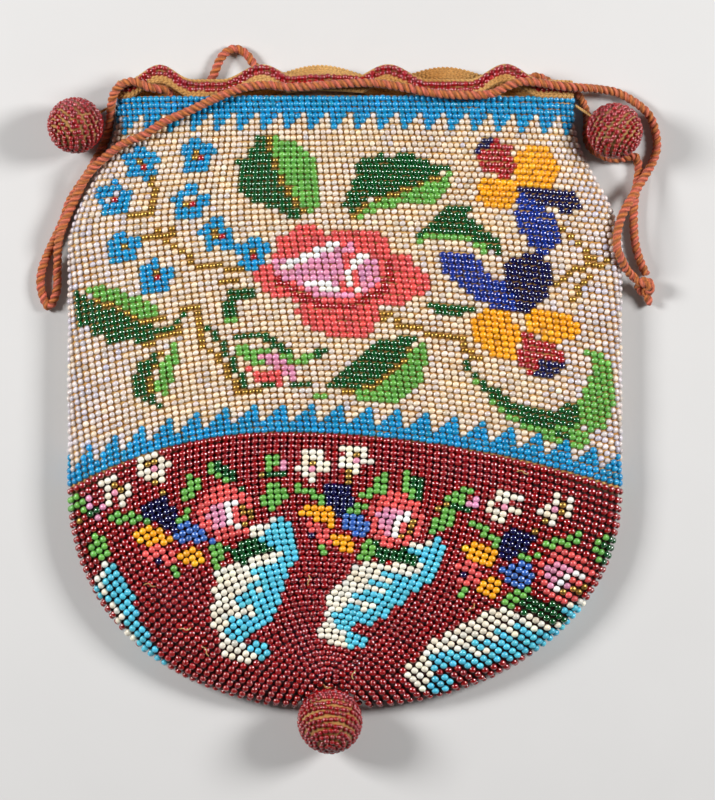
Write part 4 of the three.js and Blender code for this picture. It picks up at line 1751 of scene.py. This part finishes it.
@dataclass
class BeadedBall:
    """A wooden ball in a beaded cover, on its thread."""

    name: str
    centre: Triple
    radius: float
    anchor: Triple
    courses: int = 14
    bead_half: Triple = (0.86, 0.78, 0.8)
    bead_slope: float = 0.12
    least_beads: int = 5
    course_wave: float = 0.024
    waves: int = 3
    wave_shift: float = 2.1
    jitter: float = 0.1
    size_spread: float = 0.05
    cover_steps: int = 48
    cover_rings: int = 25
    cover_insets: Span = (0.95, 1.7)
    hole_tilt: float = 0.14
    # How much painted shade darkens the cover between the ball's beads.
    cover_gap_shade: float = 0.22
    thread_depth: float = 1.9
    thread_points: int = 25
    thread_radius: float = 0.5
    thread_pitch: float = 1.6
    thread_sides: int = 6
    thread_colours: tuple[Colour, ...] = ((186, 138, 76), (160, 112, 58))

    def cover(self) -> Piece:
        """Builds the thread cover under the beads, as a ball with a hole at each end of its axis.

        Returns:
            The new object.
        """
        steps = self.cover_steps
        turn = 2 * math.pi * np.arange(steps) / steps
        rows = []
        for inset, order in zip(self.cover_insets, (1, -1)):
            scale = self.radius - inset
            for tilt in np.linspace(self.hole_tilt, math.pi - self.hole_tilt, self.cover_rings)[::order]:
                out = scale * math.sin(tilt)
                high = np.full(steps, scale * math.cos(tilt))
                rows.append(np.stack([out * np.cos(turn), high, out * np.sin(turn)], axis=-1))
        points = np.concatenate(rows) @ self.turn().T + np.array(self.centre)
        obj = mesh_object(self.name + "_thread_cover", points, loop_faces(len(rows), steps, closed=True))
        # Painted shade: the cover is darkened a little between the ball's beads.
        point_values(obj, "gap_shade", np.full(len(points), self.cover_gap_shade))
        return obj

    def turn(self) -> Array:
        """Finds the turn that brings the ball's axis from y to its thread.

        Returns:
            The turn as a matrix.
        """
        axis = unit(np.array(self.anchor) - np.array(self.centre))
        side = unit(np.cross(axis, np.array([0.0, 0.0, 1.0])))
        return np.stack([side, axis, np.cross(side, axis)], axis=1)

    def beads(self, rng: Rng) -> BeadSet:
        """Places the ball's beads in slightly wavy courses round its axis.

        Args:
            rng: the source of unevenness.

        Returns:
            The beads.
        """
        reach = self.radius - self.bead_half[2]
        centres = []
        alongs = []
        for course in range(self.courses):
            tilt = math.pi * (course + 0.5) / self.courses
            around = 2 * math.pi * reach * math.sin(tilt)
            count = max(self.least_beads, round(around / (2 * self.bead_half[0])))
            turn = 2 * math.pi * (np.arange(count) + 0.5 * (course % 2)) / count
            lean = tilt + self.course_wave * np.sin(self.waves * turn + self.wave_shift * course)
            ring = reach * np.sin(lean)
            high = reach * np.cos(lean)
            centres.append(np.stack([ring * np.cos(turn), high, ring * np.sin(turn)], axis=-1))
            alongs.append(np.stack([-np.sin(turn), np.full(count, self.bead_slope), np.cos(turn)], axis=-1))
        centre = np.concatenate(centres)
        centre = centre + rng.normal(0, self.jitter, centre.shape)
        centre = unit(centre) * reach
        uneven = 1 + rng.normal(0, self.size_spread, (len(centre), 3))
        size = np.tile(self.bead_half, (len(centre), 1)) * uneven
        turn = self.turn()
        colour = np.full(len(centre), Bead.RUBY.number)
        return BeadSet(centre @ turn.T + np.array(self.centre), np.concatenate(alongs) @ turn.T,
                       unit(centre) @ turn.T, size, colour)

    def build(self, finishes: Finishes) -> None:
        """Makes the cover, its beads and its thread, and dresses them with the core.

        Args:
            finishes: the materials.
        """
        rng = np.random.default_rng(SEED + len(self.name))
        cover = seat(self.cover(), self.name, finishes.thread)
        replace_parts(cover, self.name + "_cover")
        made = self.beads(rng).make(self.name + "_beads", FACE_BEAD, rng)
        seat(made, self.name, finishes.ball_glass)
        core = bpy.data.objects[self.name + "_core"]
        core.data.materials.clear()
        core.data.materials.append(finishes.wood)
        low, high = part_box(self.name + "_thread")
        start = np.array(self.anchor)
        axis = unit(start - np.array(self.centre))
        end = np.array(self.centre) + axis * (self.radius - self.thread_depth)
        share = np.linspace(0, 1, self.thread_points)[:, None]
        line = start * (1 - share) + end * share
        thread = twisted(self.name + "_twist", line, self.thread_radius, self.thread_pitch,
                         self.thread_sides, self.thread_colours)
        seat(thread, self.name, finishes.thread)
        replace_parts(thread, self.name + "_thread")
        LOG.info("%s thread lies in a box %s to %s", self.name, list(low), list(high))


CURVE_STEPS = 40
CURVE_LEAST = 8
SHORTEST = 1e-4
NEARLY_UPRIGHT = 0.1
PLY_SHARE = 0.58
STRANDS = 3
STRAND_TWIST = 2.5


def smooth_route(points: list[Triple], step: float) -> Array:
    """Draws one smooth curve through a cord's points, evenly spaced.

    Args:
        points: the route's points in millimetres.
        step: the distance between the points that come back.

    Returns:
        One row of x, y and z for each point of the curve.
    """
    given = np.array(points, float)
    ends = np.concatenate([[2 * given[0] - given[1]], given, [2 * given[-1] - given[-2]]])
    share = np.linspace(0, 1, CURVE_STEPS, endpoint=False)[:, None]
    pieces = []
    for p0, p1, p2, p3 in zip(ends, ends[1:], ends[2:], ends[3:]):
        t0 = max(np.linalg.norm(p1 - p0), SHORTEST) ** 0.5
        t1 = max(np.linalg.norm(p2 - p1), SHORTEST) ** 0.5
        t2 = max(np.linalg.norm(p3 - p2), SHORTEST) ** 0.5
        m1 = ((p1 - p0) / t0 - (p2 - p0) / (t0 + t1) + (p2 - p1) / t1) * t1
        m2 = ((p2 - p1) / t1 - (p3 - p1) / (t1 + t2) + (p3 - p2) / t2) * t1
        a = 2 * p1 - 2 * p2 + m1 + m2
        b = -3 * p1 + 3 * p2 - 2 * m1 - m2
        pieces.append(a * share**3 + b * share**2 + m1 * share + p1)
    line = np.concatenate([*pieces, given[-1:]])
    run = run_along(line)
    places = np.linspace(0, run[-1], max(CURVE_LEAST, int(run[-1] / step)) + 1)
    return np.stack([np.interp(places, run, line[:, axis]) for axis in range(3)], axis=1)


def level_frames(line: Array) -> tuple[Array, Array]:
    """Two directions across a line at each point, without needless turning.

    Args:
        line: the points.

    Returns:
        Two arrays of directions.
    """
    ahead = unit(np.gradient(line, axis=0))
    first = np.cross(ahead[0], np.array([0.0, 0.0, 1.0]))
    if np.linalg.norm(first) < NEARLY_UPRIGHT:
        first = np.array([1.0, 0.0, 0.0])
    across = [unit(first)]
    for direction in ahead[1:]:
        last = across[-1] - direction * np.dot(across[-1], direction)
        across.append(unit(last))
    side = np.array(across)
    return side, np.cross(ahead, side)


def twisted(name: str, line: Array, radius: float, pitch: float, sides: int,
            colours: tuple[Colour, ...]) -> Piece:
    """Builds a cord of plies that twist round each other along a line.

    Args:
        name: the piece's name.
        line: the cord's middle line in millimetres.
        radius: the whole cord's radius.
        pitch: the length of one full twist.
        sides: how many sides each ply has.
        colours: each ply's colour, one for each ply.

    Returns:
        The new object, with a tint and a strand value at its points.
    """
    side, lift = level_frames(line)
    run = run_along(line)
    ply_radius = radius * PLY_SHARE
    swing = radius - ply_radius
    turn = 2 * np.pi * np.arange(sides) / sides
    place = np.arange(sides)
    after = (place + 1) % sides
    count = len(line) * sides
    end_row = count - sides
    end_after = end_row + after
    points = []
    faces = []
    tints = []
    strands = []
    start = 0
    for ply, colour in enumerate(colours):
        angle = 2 * np.pi * (run / pitch + ply / len(colours))
        middle = line + swing * (side * np.cos(angle)[:, None] + lift * np.sin(angle)[:, None])
        ply_side, ply_lift = level_frames(middle)
        ring = ply_side[:, None] * np.cos(turn)[None, :, None]
        ring = ring + ply_lift[:, None] * np.sin(turn)[None, :, None]
        points.append((middle[:, None] + ring * ply_radius).reshape(-1, 3))
        faces.append(loop_faces(len(line), sides) + start)
        caps = [points[-1][:sides].mean(axis=0), points[-1][-sides:].mean(axis=0)]
        points.append(np.array(caps))
        first = np.stack([np.full(sides, count), after, place, place], axis=-1)
        last = np.stack([np.full(sides, count + 1), end_row + place, end_after, end_after], axis=-1)
        faces.append(first + start)
        faces.append(last + start)
        tints.append(np.tile(linear(colour), (count + 2, 1)))
        # The strand value is low in the creases between a ply's strands; the cord paints shade there and
        # bumps by it.
        wave = 0.5 + 0.5 * np.cos(turn[None, :] * STRANDS - run[:, None] / pitch * 2 * np.pi * STRAND_TWIST)
        strands.append(np.concatenate([wave.ravel(), [0.5, 0.5]]))
        start += count + 2
    all_faces = np.concatenate(faces)
    triangles = np.concatenate([all_faces[:, [0, 1, 2]], all_faces[:, [0, 2, 3]]])
    real = (triangles[:, 0] != triangles[:, 2]) & (triangles[:, 1] != triangles[:, 2])
    obj = mesh_object(name, np.concatenate(points), triangles[real])
    point_values(obj, "ply_tint", np.concatenate(tints))
    point_values(obj, "strand", np.concatenate(strands))
    return obj


@dataclass
class Drawstring:
    """The twisted drawstring: the run over the face, the run behind, and the knot that joins them."""

    diameter: float = 2.8
    pitch: float = 3.8
    step: float = 0.42
    knot_step: float = 0.3
    knot_share: float = 0.93
    tail_share: float = 0.98
    ply_sides: int = 10
    ply_colours: tuple[Colour, ...] = ((218, 110, 84), (200, 112, 54))
    knot_centre: Triple = (90.0, -56.7, 3.3)
    front_route: Triples = (
        (-53.7, 1.9, 9.4), (-58.2, 2.4, 11.6), (-63.3, 4.2, 11.5), (-66.9, 3.3, 10.2), (-69.2, 0.6, 8.6),
        (-71.6, -11, 2), (-76.2, -20.7, 1.55), (-82.8, -30.9, 1.45), (-84.8, -36.6, 1.45),
        (-91.4, -52.2, 1.45), (-91.4, -58.2, 1.45), (-89.2, -62.8, 1.45), (-86.9, -58.5, 1.5),
        (-86.6, -51.6, 1.8), (-85.8, -42.3, 4.5), (-80.2, -28.8, 4.9), (-76.7, -22.8, 6.6),
        (-66.9, -14.7, 10.5), (-60, -11.8, 12), (-53.7, -7.8, 12.8), (-47.4, -5.1, 13.3),
        (-31.5, 1.8, 14.2), (-23.7, 3, 13.4), (-16.5, 2.3, 14.4), (8.4, 3.5, 14.6),
        (28.5, 0.3, 14.3), (43.5, 0.4, 13.6), (48, 2.4, 13.2), (52.5, 4, 13.1), (65.1, 2.8, 11),
        (77.7, 2.3, 3.8), (83.1, 1.1, 1.9), (91.5, -5.1, 1.5), (93.9, -13.6, 1.5), (93, -18.3, 1.8),
        (82.4, -37.2, 8.8), (81.4, -45.3, 9.5), (82.7, -48.6, 8.3), (84.6, -51.9, 5.4), (87.1, -54.3, 3.4),
    )
    back_route: Triples = (
        (90.5, -53, 2.2), (89, -49.4, 1.5), (87.5, -44.4, 1.45), (86.9, -37.2, 1.45), (87.1, -31.5, 1.45),
        (87.9, -25.8, 1.45), (88.4, -20.8, 1.45), (87.2, -17.6, 1.45), (84.2, -17.9, 1.45),
        (80.4, -18.2, 1.45), (76.8, -16.9, 1.45), (74, -14.9, 1.45), (72.8, -12, 1.45), (72.9, -8.6, 1.45),
        (72.8, -5.2, 1.45), (71.8, -2, 1.45), (70.2, 0.9, 1.45), (67.6, 2.8, 1.45), (63.9, 3.6, 1.45),
        (60.6, 5.3, 1.45), (57.6, 6.5, 1.45), (54.6, 5.3, 1.45), (51.3, 3.6, 1.45), (44, 3.3, 1.45),
        (30, 3.3, 1.45), (14, 3.3, 1.45), (-4.5, 3.3, 1.45), (-18.6, 3.5, 1.45), (-23.2, 4.8, 1.45),
        (-25.8, 7.5, 1.45), (-27.8, 10.6, 1.45), (-30, 13.5, 1.45), (-33.2, 14.9, 1.45),
        (-36.2, 13.5, 1.45), (-38, 10.9, 1.45), (-39.2, 7.8, 1.45), (-40.6, 5.1, 1.45), (-43, 3.4, 1.45),
    )
    inner_tail: Triples = (
        (-54.4, 2.0, 9.8), (-53.0, 1.3, 8.9), (-51.6, -0.4, 7.2), (-50.6, -3.5, 6.2), (-50.0, -7.0, 5.8),
    )
    knot_turns: Triples = (
        (-2.9, 2.4, 0.1), (-1.4, 1.2, 1.0), (0.9, 0.3, 1.5), (1.9, -1.2, 0.3), (0.6, -2.0, -1.2),
        (-1.5, -1.0, -1.5), (-1.6, 0.9, -0.6), (0.2, 1.7, 0.9), (1.7, 0.8, 1.3), (1.6, -0.9, -0.3),
        (0.2, -1.2, -1.6), (0.9, -3.0, -1.3), (1.8, -5.2, -1.7),
    )

    def placed(self, route: Triples) -> Array:
        """The smooth middle line of a run, in the frame."""
        return smooth_route([(x, y + MOUTH_Y, z) for x, y, z in route], self.step)

    def twist(self, name: str, line: Array, share: float, finishes: Finishes) -> Piece:
        """Makes one piece of the cord and dresses it.

        Args:
            name: the piece's name.
            line: its middle line.
            share: its share of the cord's thickness.
            finishes: the materials.

        Returns:
            The new object.
        """
        radius = self.diameter / 2 * share
        made = twisted(name, line, radius, self.pitch, self.ply_sides, self.ply_colours)
        return seat(made, "bag", finishes.cord)

    def build(self, finishes: Finishes) -> None:
        """Makes both runs and the knot, and dresses them.

        Args:
            finishes: the materials.
        """
        middle = np.array([self.knot_centre[0], self.knot_centre[1] + MOUTH_Y, self.knot_centre[2]])
        knot_line = smooth_route([tuple(middle + np.array(turn)) for turn in self.knot_turns], self.knot_step)
        knot_line[:, 2] = np.maximum(knot_line[:, 2], self.diameter / 2)
        knot = self.twist("drawstring_knot_twist", knot_line, self.knot_share, finishes)
        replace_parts(knot, "drawstring_knot")
        tail = self.twist("drawstring_tail_twist", self.placed(self.inner_tail), self.tail_share, finishes)
        runs = (
            ("drawstring_front", self.front_route, "knot"),
            ("drawstring_back", self.back_route, "object"),
        )
        for node, route, far_end in runs:
            line = self.placed(route)
            piece = self.twist(node + "_twist", line, 1.0, finishes)
            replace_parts(piece, node)


@dataclass
class Studio:
    """The pale floor, the soft lights and the camera straight above."""

    floor_size: float = 3.0
    floor_drop: float = 0.05
    floor_colour: Triple = (0.64, 0.63, 0.62)
    floor_rough: float = 0.85
    floor_grain: Span = (0.98, 1.02)
    grain_scale: float = 40.0
    grain_detail: float = 3.0
    lamps: tuple[tuple[str, Triple], ...] = (
        ("left_light", (-0.9, 0.3, 0.64)), ("right_light", (0.9, 0.3, 0.64)),
    )
    lamp_size: float = 0.34
    lamp_power: float = 13.5
    world_strength: float = 0.055
    sensor: float = 36.0
    view_height: float = 0.24
    focus_z: float = 0.006
    distance: float = 1.2
    centre: Point = (0.00375, 0.00275)

    def build(self) -> None:
        """Makes the floor, the lights, the world and the camera."""
        self.floor()
        self.lights()
        self.camera()

    def floor(self) -> None:
        """Makes the plain pale floor just under the bag."""
        half = self.floor_size / 2 / MM
        low = -self.floor_drop
        corners = np.array([[-half, -half, low], [half, -half, low], [half, half, low], [-half, half, low]])
        floor = mesh_object("floor", corners, np.array([[0, 1, 2, 3]]), smooth=False)
        nodes = Nodes("pale_floor")
        grain = nodes.noise(self.grain_scale, self.grain_detail)
        colour = nodes.add("ShaderNodeRGB")
        colour.outputs[0].default_value = (*self.floor_colour, 1)
        mottled = nodes.scale(colour.outputs[0], nodes.ranged(grain, FULL_SPAN, self.floor_grain))
        nodes.join(mottled, nodes.shader.inputs["Base Color"])
        nodes.settle(Roughness=self.floor_rough)
        floor.data.materials.append(nodes.material)

    def lights(self) -> None:
        """Makes a soft lamp at each side and an even world."""
        for name, place in self.lamps:
            lamp = bpy.data.lights.new(name, "AREA")
            lamp.size = self.lamp_size
            lamp.energy = self.lamp_power
            obj = bpy.data.objects.new(name, lamp)
            obj.location = place
            obj.rotation_mode = "QUATERNION"
            obj.rotation_quaternion = Vector(-np.array(place)).to_track_quat("-Z", "Y")
            bpy.context.collection.objects.link(obj)
        world = bpy.data.worlds.new("studio")
        world.use_nodes = True
        world.node_tree.nodes["Background"].inputs[0].default_value = (1, 1, 1, 1)
        world.node_tree.nodes["Background"].inputs[1].default_value = self.world_strength
        bpy.context.scene.world = world

    def camera(self) -> None:
        """Makes the camera that looks straight down at the bag's face."""
        data = bpy.data.cameras.new("above")
        data.sensor_width = self.sensor
        data.lens = self.sensor / 2 * self.distance / (self.view_height / 2)
        camera = bpy.data.objects.new("above", data)
        camera.location = (*self.centre, self.focus_z + self.distance)
        bpy.context.collection.objects.link(camera)
        bpy.context.scene.camera = camera


class Finishes:
    """All the materials of the bag, made once."""

    def __init__(self) -> None:
        """Builds each material."""
        glass = {
            Finish.PEARL: GlassFinish("pearl_glass", (0.2, 0.34), 0.8, 0.14, low_shade=0.78),
            Finish.OPAQUE: GlassFinish("opaque_glass", (0.2, 0.32), 0.7, 0.12),
            Finish.RUBY: GlassFinish(
                "ruby_glass", (0.14, 0.22), 1.0, 0.07, low_shade=0.2, specular=0.1, coat_ior=2.2),
            Finish.DEEP: GlassFinish(
                "deep_glass", (0.14, 0.22), 1.0, 0.07, low_shade=0.22, specular=0.1, coat_ior=2.1),
            Finish.GILT: GlassFinish("gilt_glass", (0.22, 0.4), 0.2, metal=0.75),
        }
        self.glass = {finish: kind.material() for finish, kind in glass.items()}
        ball_glass = GlassFinish(
            "ball_ruby_glass", (0.14, 0.22), 1.0, 0.06, low_shade=0.12, specular=0.1, coat_ior=1.75)
        self.ball_glass = ball_glass.material()
        self.thread = ThreadFinish("tan_thread", (190, 132, 64), (218, 172, 104)).material()
        self.cord = CordFinish("salmon_twist", (202, 122, 62)).material()
        self.wood = WoodFinish("turned_wood").material()


SIDE_MARKS = SideFlowers().marks()
BASE_MARKS = BaseFlowers().marks()


def main() -> None:
    """Builds the studio, the bag, its rim, its balls and its drawstring."""
    logging.basicConfig(level=logging.INFO, format="%(message)s")
    bpy.context.scene.view_settings.view_transform = "Standard"
    Studio().build()
    finishes = Finishes()
    Drawstring().build(finishes)
    BeadedBag().build(finishes)
    EyeletRim().build(finishes)
    balls = (
        BeadedBall("left_ball", centre=(-80.7, MOUTH_Y - 8.7, 8.6), radius=8.6,
                   anchor=(-69.3, MOUTH_Y - 2, 2.4)),
        BeadedBall("right_ball", centre=(80.7, MOUTH_Y - 10.3, 8.6), radius=8.6,
                   anchor=(69.13, MOUTH_Y - 2.5, 5.0)),
        BeadedBall("base_ball", centre=(-4.5, MOUTH_Y - 187, 9.9), radius=9.9,
                   anchor=(-4.5, MOUTH_Y - 178.1, 3.2), courses=16),
    )
    for ball in balls:
        ball.build(finishes)


if __name__ == "__main__":
    main()
